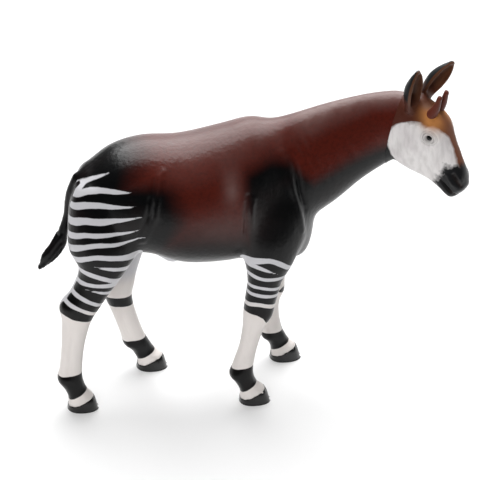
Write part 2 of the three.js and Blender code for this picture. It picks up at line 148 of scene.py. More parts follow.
TAIL = np.array([
    (0.9, 0, 71, 1.9, 1.9, 1.9),
    (-1.6, 0, 65, 1.6, 1.6, 1.6),
    (-2.7, 0, 58, 1.3, 1.25, 1.25),
    (-4.0, 0, 52.5, 1.4, 1.6, 1.6),
])
TUFT = np.array([
    (-4.0, 0, 52.5, 1.4, 1.5, 1.5),
    (-5.3, 0, 48.5, 1.8, 2.5, 2.3),
    (-7.6, 0, 45, 1.7, 2.7, 2.4),
    (-10.4, 0, 41.3, 0.9, 1.2, 1.2),
])
# In the head's frame: x along the face, z out of the forehead.
HEAD = np.array([
    (-3.0, 0, 1.0, 5.6, 7.6, 8.4),
    (1.5, 0, 0, 6.9, 10.2, 11.0),
    (6.0, 0, 0, 6.9, 10.3, 11.8),
    (11, 0, 0, 5.2, 8.8, 10.0),
    (16, 0, 0, 4.1, 7.3, 6.6),
    (21, 0, 0, 4.1, 5.5, 4.2),
    (23.5, 0, 0, 3.6, 4.1, 3.4),
])
EAR = np.array([
    (-1.5, 0, 0, 2.2, 1.2, 2.0),
    (2.5, 0, 0, 3.2, 1.3, 3.0),
    (6.3, 0, 0, 3.6, 1.3, 3.1),
    (9.8, 0, 0, 2.7, 1.0, 2.0),
    (12.2, 0, 0, 1.2, 0.6, 0.8),
])
HORN = np.array([
    (1.2, 2.3, 8.4, 1.8, 1.8, 1.8),
    (0, 2.2, 11.8, 1.3, 1.3, 1.3),
    (-1.9, 2.1, 14.8, 0.85, 0.85, 0.85),
])
HOOF = np.array([
    (-0.4, 0, 4.4, 3.6, 3.7, 3.5),
    (0, 0, 2.4, 4.0, 4.3, 3.9),
    (0.1, 0, -1.0, 4.3, 5.1, 4.2),
])
# The hoof meets the leg on a slant, high over the toe: its height at the sole's middle, its rise forwards and
# how far forward it levels off. The pastern above it is a little slimmer and is sunk a little into it.
CORONET, CORONET_RISE, TOE_ROUND = 2.7, 0.51, 3.4
PASTERN_SLIM, PASTERN_SINK = 0.985, 0.4
CLEFT_WIDTH, CLEFT_DEPTH, CLEFT_AHEAD = 0.45, 1.3, (1.5, 4.5)
SHEATH = np.array([
    (24.4, 0, 44.2, 1.2, 1.0, 2.0),
    (28.5, 0, 43.6, 2.4, 2.6, 3.2),
    (32.6, 0, 44.2, 1.1, 1.0, 1.6),
])
EYEBALL = np.array([
    (-0.5, 0, 0, 1.04, 1.04, 1.04),
    (0, 0, 0, 1.15, 1.15, 1.15),
    (0.5, 0, 0, 1.04, 1.04, 1.04),
])
# Directions of a section's side and top: for forms that lie along x, and for forms that stand.
LYING = {"side": (0, 1, 0), "up": (0, 0, 1)}
STANDING = {"side": (0, 1, 0), "up": (1, 0, 0)}
EAR_SET = {  # root, axis, and the way the open side looks
    "left": ((-4.2, 4.5, 6.8), (-3.0, 3.1, 9.0), (0.83, -0.39, 0.41)),
    "right": ((-4.2, -4.5, 6.8), (-6.4, -0.9, 7.7), (0.77, -0.08, 0.64)),
}
# The ears rise above a sloping line behind the brow.
EAR_ABOVE, EAR_SLOPE, EAR_BEHIND = (8.0, 10.5), 0.2, (1.0, -3.0)
# The ear's wall and rim, and where along it its cup begins and ends.
EAR_WALL, EAR_RIM, EAR_CUP_ROOT, EAR_CUP_TIP = 0.85, 0.75, (0.2, 3.0), (12.6, 10.8)
# Places and turns of the head's frame and of the mould seam behind the jaw.
HEAD_AT = np.array((98.3, -6.0, 85.9))
HEAD_TURN, HEAD_DROP = radians(-35), radians(50)
SEAM_AT = np.array((94.2, -4.5, 85.0))
SEAM_TURN, SEAM_DROP = radians(-28), radians(12)
# The left eye in the head's frame, how far it is sunk, the y over which the side of the face begins, and how
# much flatter than round its lids are.
EYE_AT, EYE_SUNK, EYE_SIDE, EYE_FLATNESS = np.array((6.1, 5.6, 6.0)), 0.75, (3.0, 4.5), 1.25
# Where the neck and breast blend into the trunk, and the sheath, which stays crisp, with the reach of each.
NECK_ROOT, NECK_ROOT_REACH = (64.0, 0, 72.0), (9.0, 30.0, 24.0)
SHEATH_KEPT_AT, SHEATH_KEPT_REACH = (28.5, 0, 42.5), 5.0
# How much each round of relaxing moves a point, and how many rounds: on shanks and tail, more on thick flesh,
# at the neck's root, on the head and, less, on the ears.
SHANK_RELAX, FLESH_RELAX, BODY_ROUNDS = 0.12, 0.5, 24
FLESH_ABOVE, FLESH_AHEAD = (26, 40), (-1.5, 0.5)
NECK_ROOT_RELAX, NECK_ROOT_ROUNDS = 0.9, 70
HEAD_RELAX, EAR_KEPT, HEAD_ROUNDS = 0.5, 0.42, 40

# The picture: its side and the near hind sole's place in it, in pixels, and pixels for each millimetre there.
PICTURE, SOLE_PIXEL, CAMERA_SCALE = 480, (81.0, 407.0), 3.41
# The camera's distance and the figure's middle in millimetres, and the sensor's width.
CAMERA_FAR, FIGURE_MIDDLE, SENSOR = 5000.0, (51.0, 0.0, 55.0), 36
# The stage, in metres: the floor's half width, near and far edge, and each panel's place, size and whether it
# shows in reflections.
FLOOR_HALF, FLOOR_SPAN, FLOOR_GREY, FLOOR_GLOW = 1.2, (-0.15, 1.8), (0.62, 0.62, 0.62), 0.30
PANELS = (
    ("top", (0.12, 0.74, 1.18), 1.5, True),
    ("back", (0.15, 1.30, 0.45), 0.8, True),
    ("front", (-0.55, -1.40, 0.90), 0.8, False),
)
PANELS_AIM = (0, 0, 0.05)


def turned(turn, drop):
    """Rows are a frame's axes after a turn about z and a drop of its x axis."""
    rz = np.array([(cos(turn), -sin(turn), 0), (sin(turn), cos(turn), 0), (0, 0, 1)])
    ry = np.array([(cos(drop), 0, sin(drop)), (0, 1, 0), (-sin(drop), 0, cos(drop))])
    return (rz @ ry).T


HEAD_AXES = turned(HEAD_TURN, HEAD_DROP)
SEAM_WAY = turned(SEAM_TURN, SEAM_DROP)[0]


def to_head(points):
    """Points of the figure's frame in the head's own."""
    return (points - HEAD_AT) @ HEAD_AXES.T


def from_head(points):
    """Points of the head's frame in the figure's."""
    return points @ HEAD_AXES + HEAD_AT


def figure_origin():
    """Where the figure's own origin lies in the row's frame, from the mount under the near hind sole."""
    mounts = {mount["name"]: mount["pos_m"] for mount in frame["record"]["mounts"]}
    return np.array(mounts["sole_hind_right"]) / MM - (*SOLES["hind_right"], 0.0)


ORIGIN = figure_origin()


# Curves and surfaces

TINY = 1e-12  # keeps a length from being zero


def along(stations, t):
    """A Catmull-Rom curve: p(t) = the sum of the four nearest stations, each times its own cubic in t."""
    ends = np.vstack([2 * stations[0] - stations[1], stations, 2 * stations[-1] - stations[-2]])
    k = np.clip(np.floor(t).astype(int), 0, len(stations) - 2)
    w = (t - k)[:, None]
    a, b, c, d = ends[k], ends[k + 1], ends[k + 2], ends[k + 3]
    return 0.5 * (2 * b + (c - a) * w + (2 * a - 5 * b + 4 * c - d) * w**2 + (3 * b - 3 * c + d - a) * w**3)


def sweep(stations, side=None, up=None, around=64, per_station=10, square=2.2, domes=(1, 1)):
    """p(u, v) = centre(v) + shrink(v) reach(u) (across(v) side cos u + second(v) height sin u): a rounded box
    with reach = (|cos u|^square + |sin u|^square)^(-1 / square), swept along the stations and closed at each
    end by a quarter turn of shrink, which makes a dome as long as `domes` says."""
    body = per_station * (len(stations) - 1)
    rows = body + 2 * per_station
    row = np.arange(rows + 1)
    t = np.clip((row - per_station) / body, 0, 1) * (len(stations) - 1)
    before = np.clip(per_station - row, 0, None) / per_station * pi / 2
    after = np.clip(row - per_station - body, 0, None) / per_station * pi / 2
    shrink = np.cos(before + after)
    past = domes[1] * np.sin(after) - domes[0] * np.sin(before)
    values = along(stations, t)
    way = along(stations, np.minimum(t + 0.01, len(stations) - 1)) - along(stations, np.maximum(t - 0.01, 0))
    way = way[:, :3] / np.linalg.norm(way[:, :3], axis=1)[:, None]
    across = np.cross((0, 0, 1), way) if side is None else np.tile(np.array(side, float), (rows + 1, 1))
    across /= np.linalg.norm(across, axis=1)[:, None]
    second = np.cross(way, across) if up is None else np.tile(np.array(up, float), (rows + 1, 1))
    u = np.arange(around) / around * 2 * pi
    c, s = np.cos(u), np.sin(u)
    reach = (np.abs(c) ** square + np.abs(s) ** square) ** (-1 / square)
    height = np.where(s > 0, values[:, 4:5], values[:, 5:6])
    points = values[:, None, :3] + (past[:, None] * np.cross(across, second))[:, None, :]
    points = points + (shrink * values[:, 3])[:, None, None] * (reach * c)[None, :, None] * across[:, None, :]
    points = points + (shrink[:, None] * height * reach * s)[:, :, None] * second[:, None, :]
    inner = points[1:-1].reshape(-1, 3)
    first, last = len(inner), len(inner) + 1
    verts = np.vstack([inner, points[0, 0], points[-1, 0]])
    n = rows - 1
    i, j = np.meshgrid(np.arange(n - 1), np.arange(around), indexing="ij")
    a, b = i * around + j, i * around + (j + 1) % around
    quads = np.stack([a, b, b + around, a + around], -1).reshape(-1, 4)
    j = np.arange(around)
    k = (j + 1) % around
    caps = np.vstack([
        np.stack([np.full(around, first), k, j], 1),
        np.stack([np.full(around, last), (n - 1) * around + j, (n - 1) * around + k], 1),
    ])
    return verts, quads.tolist() + caps.tolist()


def placed(form, function):
    """A form with its points moved by a function."""
    return function(form[0]), form[1]


def joined(forms):
    """Several closed forms as one list of points and one of faces."""
    points, faces, start = [], [], 0
    for form_points, form_faces in forms:
        points.append(form_points)
        faces += [[start + k for k in face] for face in form_faces]
        start += len(form_points)
    return np.vstack(points), faces


def mesh_of(name, points, faces):
    """A mesh of that name from arrays or lists of points and faces."""
    mesh = bpy.data.meshes.new(name)
    mesh.from_pydata(points.tolist(), [], faces if isinstance(faces, list) else faces.tolist())
    mesh.update()
    return mesh


def fused(forms, voxel):
    """The outer surface of overlapping closed forms, on a grid of `voxel` millimetres."""
    mesh = mesh_of("forms", *joined(forms))
    obj = bpy.data.objects.new("forms", mesh)
    bpy.context.scene.collection.objects.link(obj)
    remesh = obj.modifiers.new("Fuse", "REMESH")
    remesh.mode = "VOXEL"
    remesh.voxel_size = voxel
    remesh.adaptivity = 0
    result = obj.evaluated_get(bpy.context.evaluated_depsgraph_get()).to_mesh()
    points = np.zeros(len(result.vertices) * 3, np.float32)
    result.vertices.foreach_get("co", points)
    corners = np.zeros(len(result.loops), np.int32)
    result.loops.foreach_get("vertex_index", corners)
    obj.to_mesh_clear()
    bpy.data.objects.remove(obj)
    bpy.data.meshes.remove(mesh)
    return points.reshape(-1, 3).astype(float), corners.reshape(-1, 4)


def relaxed(points, quads, weight, rounds):
    """Moves each point towards the mean of its neighbours by its weight, `rounds` times."""
    pairs = np.vstack([quads[:, [k, (k + 1) % 4]] for k in range(4)])
    count = np.bincount(pairs[:, 0], minlength=len(points)) + np.bincount(pairs[:, 1], minlength=len(points))
    for _ in range(rounds):
        total = np.zeros_like(points)
        for axis in range(3):
            total[:, axis] += np.bincount(pairs[:, 0], points[pairs[:, 1], axis], len(points))
            total[:, axis] += np.bincount(pairs[:, 1], points[pairs[:, 0], axis], len(points))
        points = points + weight[:, None] * (total / count[:, None] - points)
    return points


def normals_of(points, quads):
    """Each point's normal: the sum of the cross products of its faces' diagonals, made one long."""
    cross = np.cross(points[quads[:, 2]] - points[quads[:, 0]], points[quads[:, 3]] - points[quads[:, 1]])
    total = np.zeros_like(points)
    for k in range(4):
        for axis in range(3):
            total[:, axis] += np.bincount(quads[:, k], cross[:, axis], len(points))
    return total / (np.linalg.norm(total, axis=1)[:, None] + TINY)


def step(low, high, value):
    """A smooth rise from 0 at low to 1 at high."""
    t = np.clip((value - low) / (high - low), 0, 1)
    return t * t * (3 - 2 * t)


def shares(path):
    """How far along a polyline each of its corners lies, from 0 to 1."""
    lengths = np.linalg.norm(np.diff(path, axis=0), axis=1)
    return np.concatenate([[0], np.cumsum(lengths)]) / lengths.sum()


def path_distance(points, path):
    """Distance to a polyline, and how far along it the nearest place is, from 0 to 1."""
    path = np.array(path, float)
    best = np.full(len(points), np.inf)
    where = np.zeros(len(points))
    starts = shares(path)
    for k, (a, b) in enumerate(zip(path[:-1], path[1:])):
        t = np.clip(((points - a) @ (b - a)) / ((b - a) @ (b - a)), 0, 1)
        gap = np.linalg.norm(points - a - t[:, None] * (b - a), axis=1)
        near = gap < best
        best[near] = gap[near]
        where[near] = (starts[k] + t * (starts[k + 1] - starts[k]))[near]
    return best, where


def rounded_min(a, b, size):
    """The smaller of two values, with a rounded corner: (a + b - sqrt((a - b)^2 + size^2)) / 2."""
    return 0.5 * (a + b - np.sqrt((a - b) ** 2 + size**2))


def bell(distance, width):
    """exp(-(distance / width)^2): 1 in the middle, and near 0 beyond twice the width."""
    return np.exp(-((distance / width) ** 2))


def folded(points, hand):
    """The points with both sides laid on one: y becomes |y| for hand 1 and -|y| for hand -1."""
    return np.stack([points[:, 0], hand * np.abs(points[:, 1]), points[:, 2]], 1)


# Paint, as fields over the skin's points. A field is a distance in millimetres, above zero inside the paint.

OUTSIDE = -9.0  # a field far outside its paint
# White stripes on the outside of the haunches and hind legs, as the right side has them: x, z and half width
# along each.
HAUNCH_STRIPES = (
    ((-3.0, 67.4, 0.3), (-1.0, 69.0, 0.42), (0.9, 70.6, 0.36),
     (2.4, 71.7, 0.32), (5.7, 73.4, 0.26), (8.9, 75.2, 0.05)),
    ((-3.2, 67.0, 0.5), (-0.9, 68.2, 0.6), (2.0, 69.8, 0.68),
     (5.4, 70.6, 0.7), (10.4, 71.2, 0.6), (15.2, 71.5, 0.05)),
    ((-3.4, 64.4, 0.6), (-1.2, 65.3, 0.8), (1.8, 66.4, 0.88),
     (5.2, 66.7, 0.82), (8.5, 66.8, 0.7), (16.5, 67.6, 0.05)),
    ((-3.6, 60.3, 0.9), (-1.4, 61.1, 1.05), (1.5, 62.0, 1.0),
     (6.7, 62.1, 1.0), (11.8, 63.1, 0.6), (18.7, 64.6, 0.05)),
    ((-3.6, 56.3, 0.8), (-1.5, 57.1, 0.83), (1.4, 57.9, 0.72),
     (4.9, 58.0, 0.7), (11.9, 58.6, 0.48), (17.3, 60.1, 0.05)),
    ((-3.4, 52.5, 0.9), (-1.6, 53.4, 0.95), (1.3, 54.4, 0.75),
     (4.8, 55.1, 0.72), (11.9, 55.3, 0.48), (18.9, 57.5, 0.05)),
    ((-2.6, 49.3, 1.0), (-0.6, 49.9, 1.0), (1.3, 50.7, 0.82),
     (4.7, 51.4, 0.8), (11.8, 50.7, 0.9), (17.0, 50.2, 1.4)),
    ((3.4, 48.3, 0.05), (7.8, 47.5, 0.5), (15.0, 46.0, 0.9)),
    ((-1.4, 46.1, 0.7), (4.0, 44.9, 0.75), (10.0, 42.7, 0.8), (14.0, 41.4, 1.4)),
    ((-2.2, 42.2, 0.7), (4.0, 41.7, 0.6), (9.2, 41.2, 0.9), (13.0, 40.4, 1.2)),
    ((0.9, 40.4, 0.05), (4.5, 39.5, 0.35), (11.5, 37.2, 0.8)),
    ((-4.5, 39.0, 0.7), (-2.2, 38.4, 0.7), (6.1, 34.2, 0.55), (9.0, 32.5, 0.7)),
    ((-6.5, 36.4, 0.6), (-4.6, 35.6, 0.6), (4.6, 31.2, 0.6), (7.0, 29.9, 0.6)),
)
# Where plain white begins below the stripes, as x and z.
HOCK_EDGE = ((-8.0, 32.2), (-5.2, 31.6), (-2.7, 30.2), (3.7, 28.5), (8.0, 27.6))
# The same for the fore legs.
FORE_STRIPES = (
    ((48.0, 47.0, 1.0), (50.5, 47.2, 1.1), (55.0, 47.6, 0.8), (58.5, 46.0, 0.8), (62.0, 43.0, 0.6)),
    ((48.5, 45.8, 0.8), (51.0, 45.4, 0.7), (54.0, 44.4, 0.5), (57.8, 42.6, 0.05)),
    ((47.5, 42.6, 0.6), (49.8, 42.2, 0.6), (53.6, 41.1, 0.6), (60.5, 40.6, 0.6)),
    ((47.0, 38.6, 0.5), (49.7, 38.3, 0.5), (53.0, 38.0, 0.5), (60.0, 36.4, 0.45)),
    ((47.0, 36.2, 0.5), (49.4, 35.9, 0.5), (53.0, 35.4, 0.55), (59.0, 34.4, 0.5)),
    ((46.0, 32.5, 0.6), (48.8, 32.4, 0.6), (52.4, 32.5, 0.6), (58.5, 30.6, 0.6)),
)
KNEE_EDGE = ((45.0, 30.2), (48.5, 29.7), (51.5, 29.1), (53.4, 27.9), (54.3, 26.0), (57.0, 25.6))
# The highest white, and the x that the hind legs end at and the fore legs start from.
WHITE_UP_TO = {"hind": 80.0, "fore": 49.5}
HIND_LEG_ENDS, FORE_LEG_STARTS = 30.0, 40.0
# Inner sides of the legs: a slanting top edge as (x, z, slope), a front edge, a dark band's middle and half.
HIND_INNER_TOP = (10.0, 54.0, 0.25)
HIND_INNER_FRONT = 21.0
HOCK_BAND = (27.3, 1.9)
FORE_INNER_TOP = 47.5
# How far outwards a surface must look to carry the outside's paint, on the hind and the fore legs.
HIND_OUTWARD, FORE_OUTWARD = (-0.15, 0.1), (-0.35, -0.1)
# On the thigh the inner white also turns round the front edge, where the surface looks this far forward.
THIGH_TURN, THIGH_FORWARD, THIGH_ABOVE = 0.35, (0.3, 0.9), (30, 40)
KNEE_BAND = (28.5, 0.9)
# A dark line down the front of each fore shank: its y at a height, its lean, half width, and lowest and
# highest z.
SHANK_LINE_AT, SHANK_LINE_LEAN = (11.4, 25.0), 0.06
SHANK_LINE_HALF, SHANK_LINE_SPAN = 0.45, (10, 27)
# The black fetlock lies between two slanting lines, with x measured from the leg's middle.
FETLOCK_TOP = (0.0, 11.7, 0.12)
FETLOCK_FOOT = (0.0, 5.1, 0.42)
SHEATH_PAINT_AT, SHEATH_PAINT_REACH, SHEATH_PAINT_SQUEEZE = (28.2, 0, 41.0), 3.2, (0.62, 1, 1)
STRIPE_WHITE_RISE = (30, 36)  # heights over which the white turns to the cooler one of the stripes


def as_right_leg(points, kind):
    """The x and z that each point of a left leg has on the right one, station by station."""
    left, right = LEG[kind + "_left"], LEG[kind + "_right"]
    t = np.arange(len(left))
    at = np.interp(-points[:, 2], -left[:, 2], t)
    z = np.interp(at, t, right[:, 2]) + np.clip(points[:, 2] - left[0, 2], 0, None)
    x = points[:, 0] - np.interp(at, t, left[:, 0]) + np.interp(at, t, right[:, 0])
    is_left = points[:, 1] > 0
    return np.where(is_left, x, points[:, 0]), np.where(is_left, z, points[:, 2])


def leg_middle(kind, z):
    """The x of the right leg's middle line at each height."""
    right = LEG[kind + "_right"]
    return np.interp(-z, -right[:, 2], right[:, 0])


def stripe_field(x, z, stripes):
    """How far inside the nearest stripe a place is: its half width less the distance to its middle."""
    field = np.full(len(x), OUTSIDE)
    flat = np.stack([x, z], 1)
    for stripe in stripes:
        stripe = np.array(stripe)
        fine = along(stripe, np.linspace(0, len(stripe) - 1, 6 * (len(stripe) - 1) + 1))
        gap, where = path_distance(flat, fine[:, :2])
        field = np.maximum(field, np.interp(where, shares(fine[:, :2]), fine[:, 2]) - gap)
    return field


def below_edge(x, z, edge_line):
    """How far below a line of (x, z) points a place is."""
    line = np.array(edge_line)
    return np.interp(x, line[:, 0], line[:, 1]) - z


def below_slope(x, z, slope):
    """How far below a straight line, given as (x, z, slope), a place is."""
    return slope[1] + slope[2] * (x - slope[0]) - z


def beside_band(z, band):
    """How far outside a band, given as its middle and half, a height is."""
    return np.abs(z - band[0]) - band[1]


def hind_white(x, z, wide, outward, forward):
    """Stripes outside down to the hock and white below; inside plain white with a dark band at the hock."""
    outer = np.maximum(stripe_field(x, z, HAUNCH_STRIPES), below_edge(x, z, HOCK_EDGE))
    inner = np.minimum(below_slope(x, z, HIND_INNER_TOP), beside_band(z, HOCK_BAND))
    inner = np.minimum(inner, HIND_INNER_FRONT - x)
    turn = THIGH_TURN * step(*THIGH_FORWARD, forward) * step(*THIGH_ABOVE, z)
    is_outer = step(*HIND_OUTWARD, outward - turn)
    return is_outer * outer + (1 - is_outer) * inner


def fore_white(x, z, wide, outward, forward):
    """Stripes outside down to the knee and white below, parted in front by a dark line; plain inside."""
    outer = np.maximum(stripe_field(x, z, FORE_STRIPES), below_edge(x, z, KNEE_EDGE))
    middle, half = KNEE_BAND
    inner = np.minimum(FORE_INNER_TOP - z, np.abs(z - middle) - half * step(0.2, 0.8, forward))
    is_outer = step(*FORE_OUTWARD, outward)
    both = is_outer * outer + (1 - is_outer) * inner
    line_y, line_z = SHANK_LINE_AT
    line = np.abs(wide - (line_y + SHANK_LINE_LEAN * (line_z - z))) - SHANK_LINE_HALF
    on_front = (forward > 0.3) & (z > SHANK_LINE_SPAN[0]) & (z < SHANK_LINE_SPAN[1])
    return np.where(on_front, np.minimum(both, line), both)


def leg_white(points, normals):
    """White paint on the haunches, legs and sheath."""
    wide = np.abs(points[:, 1])
    outward = normals[:, 1] * np.sign(points[:, 1])
    field = np.full(len(points), OUTSIDE)
    for kind, painted in (("hind", hind_white), ("fore", fore_white)):
        x, z = as_right_leg(points, kind)
        on_leg = (x < HIND_LEG_ENDS) if kind == "hind" else (x > FORE_LEG_STARTS)
        from_middle = x - leg_middle(kind, z)
        above_fetlock = -below_slope(from_middle, z, FETLOCK_TOP)
        off_fetlock = np.maximum(above_fetlock, below_slope(from_middle, z, FETLOCK_FOOT))
        both = np.minimum(painted(x, z, wide, outward, normals[:, 0]), off_fetlock)
        field = np.where(on_leg & (z < WHITE_UP_TO[kind]), np.maximum(field, both), field)
    from_sheath = np.linalg.norm((points - SHEATH_PAINT_AT) * SHEATH_PAINT_SQUEEZE, axis=1)
    return np.maximum(field, SHEATH_PAINT_REACH - from_sheath)


# Boxes round parts of the tail: half width, foremost x, lowest and highest z.
TAIL_ROOT = (2.2, 1.0, 50, 100)
TAIL_HANGING = (3, -2.6, 38, 100)
TUFT_HAIR = (3, -4.4, 38, 52)


def in_box(points, box):
    """True inside a box about the middle plane that is open behind."""
    half, front, low, high = box
    x, y, z = points.T
    return (np.abs(y) < half) & (x < front) & (z > low) & (z < high)


def on_tail(points):
    """True on the tail: a narrow strip between the buttocks, and all that hangs clear behind them."""
    return in_box(points, TAIL_ROOT) | in_box(points, TAIL_HANGING)


# Airbrushed black: where each cloud fades from none to full, along x or z.
RUMP_FADE, RUMP_LEAN, RUMP_TOP = (22, 9), 0.35, 72
HAUNCH_FADE, HAUNCH_BEND, HAUNCH_MIDDLE, HAUNCH_TOP_FADE = (35, 25), 0.25, 62, (77, 70)
BELLY_FADE, BELLY_BOW, BELLY_LOWEST_AT = (67, 50.5), 0.010, 38
SHOULDER_FADE = (45.5, 50.5)
UNDERSIDE_FADE = (52, 44)
# The lower edge of the maroon on the shoulder and neck, as x and z, and the fade across it.
FRONT_LINE = ((50, 56, 61.5, 64.5, 69, 78, 88, 96), (77, 79, 78, 74.5, 70.5, 75, 80, 83.5))
FRONT_LINE_FADE = (2.5, -4)


def body_black(points):
    """Airbrushed black over the maroon, from 0 to 1: the strongest of its clouds at each point."""
    x, z = points[:, 0], points[:, 2]
    rump = step(*RUMP_FADE, x + RUMP_LEAN * (RUMP_TOP - z))
    haunch = step(*HAUNCH_FADE, x + HAUNCH_BEND * np.abs(z - HAUNCH_MIDDLE)) * step(*HAUNCH_TOP_FADE, z)
    belly = step(*BELLY_FADE, z + BELLY_BOW * (x - BELLY_LOWEST_AT) ** 2)
    front = step(*SHOULDER_FADE, x) * step(*FRONT_LINE_FADE, z - np.interp(x, *FRONT_LINE))
    return np.maximum.reduce([rump, haunch, belly, front, step(*UNDERSIDE_FADE, z)])


# Dusty brown brushed on with painted sheen over the tops of the neck and back, a painted highlight as a patch
# on the flank, and a paler brown on the low flank: the strength of each.
NECK_DUST_AND_SHEEN, BACK_DUST_AND_SHEEN, PAINTED_HIGHLIGHT, LOW_FLANK_PALE = 0.75, 0.26, 0.55, 0.20
PAINTED_HIGHLIGHT_AT, PAINTED_HIGHLIGHT_REACH = (44.2, 15.4, 71.2), (2.6, 6, 5.0)
LOW_FLANK_PALE_AT, LOW_FLANK_PALE_REACH = (42, 60), (9, 6)
# How steeply a surface must face up to take the dust and painted sheen, and the x over which those of neck
# and back fade.
DUST_AND_SHEEN_FACING, NECK_DUST_AND_SHEEN_FROM, BACK_DUST_AND_SHEEN_FROM, BACK_DUST_AND_SHEEN_TO = (0.30, 0.95), (61, 69), (16, 34), (66, 58)


def body_dust_and_sheen(points, normals):
    """The dusty pale brown with painted sheen over the upward-facing top of the neck and back, a painted
    highlight on the flank and a paler low flank, from 0 to 1.
    """
    x, z = points[:, 0], points[:, 2]
    top = step(*DUST_AND_SHEEN_FACING, normals[:, 2])
    # painted sheen in a dusty colour, where the top of the neck and back faces up
    neck = NECK_DUST_AND_SHEEN * top * step(*NECK_DUST_AND_SHEEN_FROM, x)
    back = BACK_DUST_AND_SHEEN * top * step(*BACK_DUST_AND_SHEEN_FROM, x) * step(*BACK_DUST_AND_SHEEN_TO, x)
    # a painted highlight: a pale dab on the flank
    from_patch = np.linalg.norm((folded(points, 1) - PAINTED_HIGHLIGHT_AT) / PAINTED_HIGHLIGHT_REACH, axis=1)
    # a paler brown on the low flank
    low = LOW_FLANK_PALE * bell(x - LOW_FLANK_PALE_AT[0], LOW_FLANK_PALE_REACH[0]) * bell(z - LOW_FLANK_PALE_AT[1], LOW_FLANK_PALE_REACH[1])
    return np.clip(neck + back + PAINTED_HIGHLIGHT * bell(from_patch, 1.0) + low, 0, 1)


def body_fields(points, normals):
    """The body's paint: black clouds, white stripes and legs, dust with painted sheen, and how far up the leg
    the white is.
    """
    tail = on_tail(points)
    return {
        "black": np.where(tail, 1.0, body_black(points)),
        "white": np.where(tail, OUTSIDE, leg_white(points, normals)),
        "dust_and_sheen": body_dust_and_sheen(points, normals),
        "upper": step(*STRIPE_WHITE_RISE, points[:, 2]),
    }


# The head's paint, in its own frame. The white cheek's back edge as z and x, its top edge as x and z, and the
# half width of the brown bridge as x and y.
CHEEK_BACK = (
    (-12, -9.6, -9.0, -8.1, -7.2, -6.0, -4.3, -1.4, 0.7),
    (9.0, 6.8, 5.3, 3.6, 1.9, 0.4, -1.5, -3.0, -3.4),
)
CHEEK_CORNER = 2.5
CHEEK_TOP = ((-4.0, -2.9, -0.5, 1.9, 3.7, 6.1), (-1.5, 0.3, 5.4, 7.9, 9.2, 12.0))
BRIDGE_HALF = ((3.0, 3.7, 6.1, 9.8, 13.1, 17.4), (5.4, 4.6, 3.2, 1.6, 1.4, 1.9))
BRIDGE_FROM = 3  # the height above which the bridge parts the white
OCHRE_AT, OCHRE_REACH, OCHRE_STRENGTH = (2.0, 3.4, 8.9), (3.6, 2.8, 2.6), 1.25
# The muzzle's black begins at this x, further back up to one height, and further forward above another.
MUZZLE_AT, MUZZLE_LEAN, MUZZLE_LEAN_TOP = 17.3, 0.33, 3.5
BRIDGE_LEAN, BRIDGE_LEAN_FOOT, BRIDGE_LEAN_HIGH = 0.8, 4.0, 4
BRIDGE_FADE, THROAT_FADE = (2, 5), (-4.0, -6.5)  # along x, and down z
# Dark rings of paint round the eye: radius, width and strength.
EYE_SHADES = ((0, 0.95, 1.0), (1.75, 0.16, 0.6), (2.5, 0.14, 0.3))
SLIT_WIDTH = 0.5  # of the painted shade in the nostrils and along the mouth's line


def ear_share(local):
    """1 on the ears, 0 on the head, with a short blend at their roots."""
    x, z = local[:, 0], local[:, 2]
    return step(*EAR_ABOVE, z - EAR_SLOPE * x) * step(*EAR_BEHIND, x)


def eye_distance(left):
    """Distance from the eye's middle, seen from the side, with heights stretched to make the lids flatter."""
    return np.linalg.norm((left - EYE_AT) * (1, 0, EYE_FLATNESS), axis=1)


def rings(distance, table):
    """A sum of bells, one for each (radius, width, height)."""
    return sum(height * bell(distance - radius, width) for radius, width, height in table)


def cheek_white(local):
    """How far inside the white of the cheeks a place is."""
    x, z = local[:, 0], local[:, 2]
    beside_bridge = np.abs(local[:, 1]) - np.interp(x, *BRIDGE_HALF)
    white = np.minimum(np.interp(x, *CHEEK_TOP) - z, np.where(z > BRIDGE_FROM, beside_bridge, -OUTSIDE))
    back = along(np.array(CHEEK_BACK).T, np.linspace(0, len(CHEEK_BACK[0]) - 1, 80))
    return rounded_min(white, x - np.interp(z, back[:, 0], back[:, 1]), CHEEK_CORNER)


def ear_fields(local, normals, ears):
    """The black back and the brown inside of both ears, by which way the surface looks."""
    backs, insides = np.zeros(len(local)), np.zeros(len(local))
    for side, hand in HANDS:
        root, axes = ear_frame(side)
        along_ear = (local - root) @ axes[0]
        opened = normals @ axes[2]
        this = ears * (np.sign(local[:, 1]) == hand)
        backs += this * step(0.25, -0.1, opened) * step(1.5, 4.5, along_ear)
        insides += this * step(0.0, 0.3, opened)
    return backs, insides


def head_fields(local, normals, ears):
    """White cheeks, brown bridge, ochre brow, black muzzle and throat, dark lids, painted shade in the
    nostrils and the mouth's line, and the ears.
    """
    x, z = local[:, 0], local[:, 2]
    left = folded(local, 1)
    from_ochre = np.linalg.norm((left - OCHRE_AT) / OCHRE_REACH, axis=1)
    slit = np.minimum(path_distance(left, NOSTRIL)[0], path_distance(left, MOUTH)[0])
    eye = step(*EYE_SIDE, left[:, 1]) * rings(eye_distance(left), EYE_SHADES)
    ear_back, ear_in = ear_fields(local, normals, ears)
    muzzle = x - MUZZLE_AT + MUZZLE_LEAN * np.minimum(z, MUZZLE_LEAN_TOP)
    muzzle -= BRIDGE_LEAN * np.clip(z - BRIDGE_LEAN_FOOT, 0, BRIDGE_LEAN_HIGH)
    return {
        "white": np.minimum(cheek_white(local), (1 - 2 * ears) * -OUTSIDE),
        "ochre": OCHRE_STRENGTH * bell(from_ochre, 1.0) * (1 - ears),
        "muzzle": muzzle,
        "bridge": step(*BRIDGE_FADE, x) * (1 - ears),
        "throat": step(*THROAT_FADE, z),
        # dark lids round the eyes, and painted shade in the nostrils and along the mouth's line
        "shade": eye + bell(slit, SLIT_WIDTH),
        "ear_back": ear_back,
        "ear_in": ear_in,
    }


# Sculpting: raised and sunken lines and swells, in millimetres

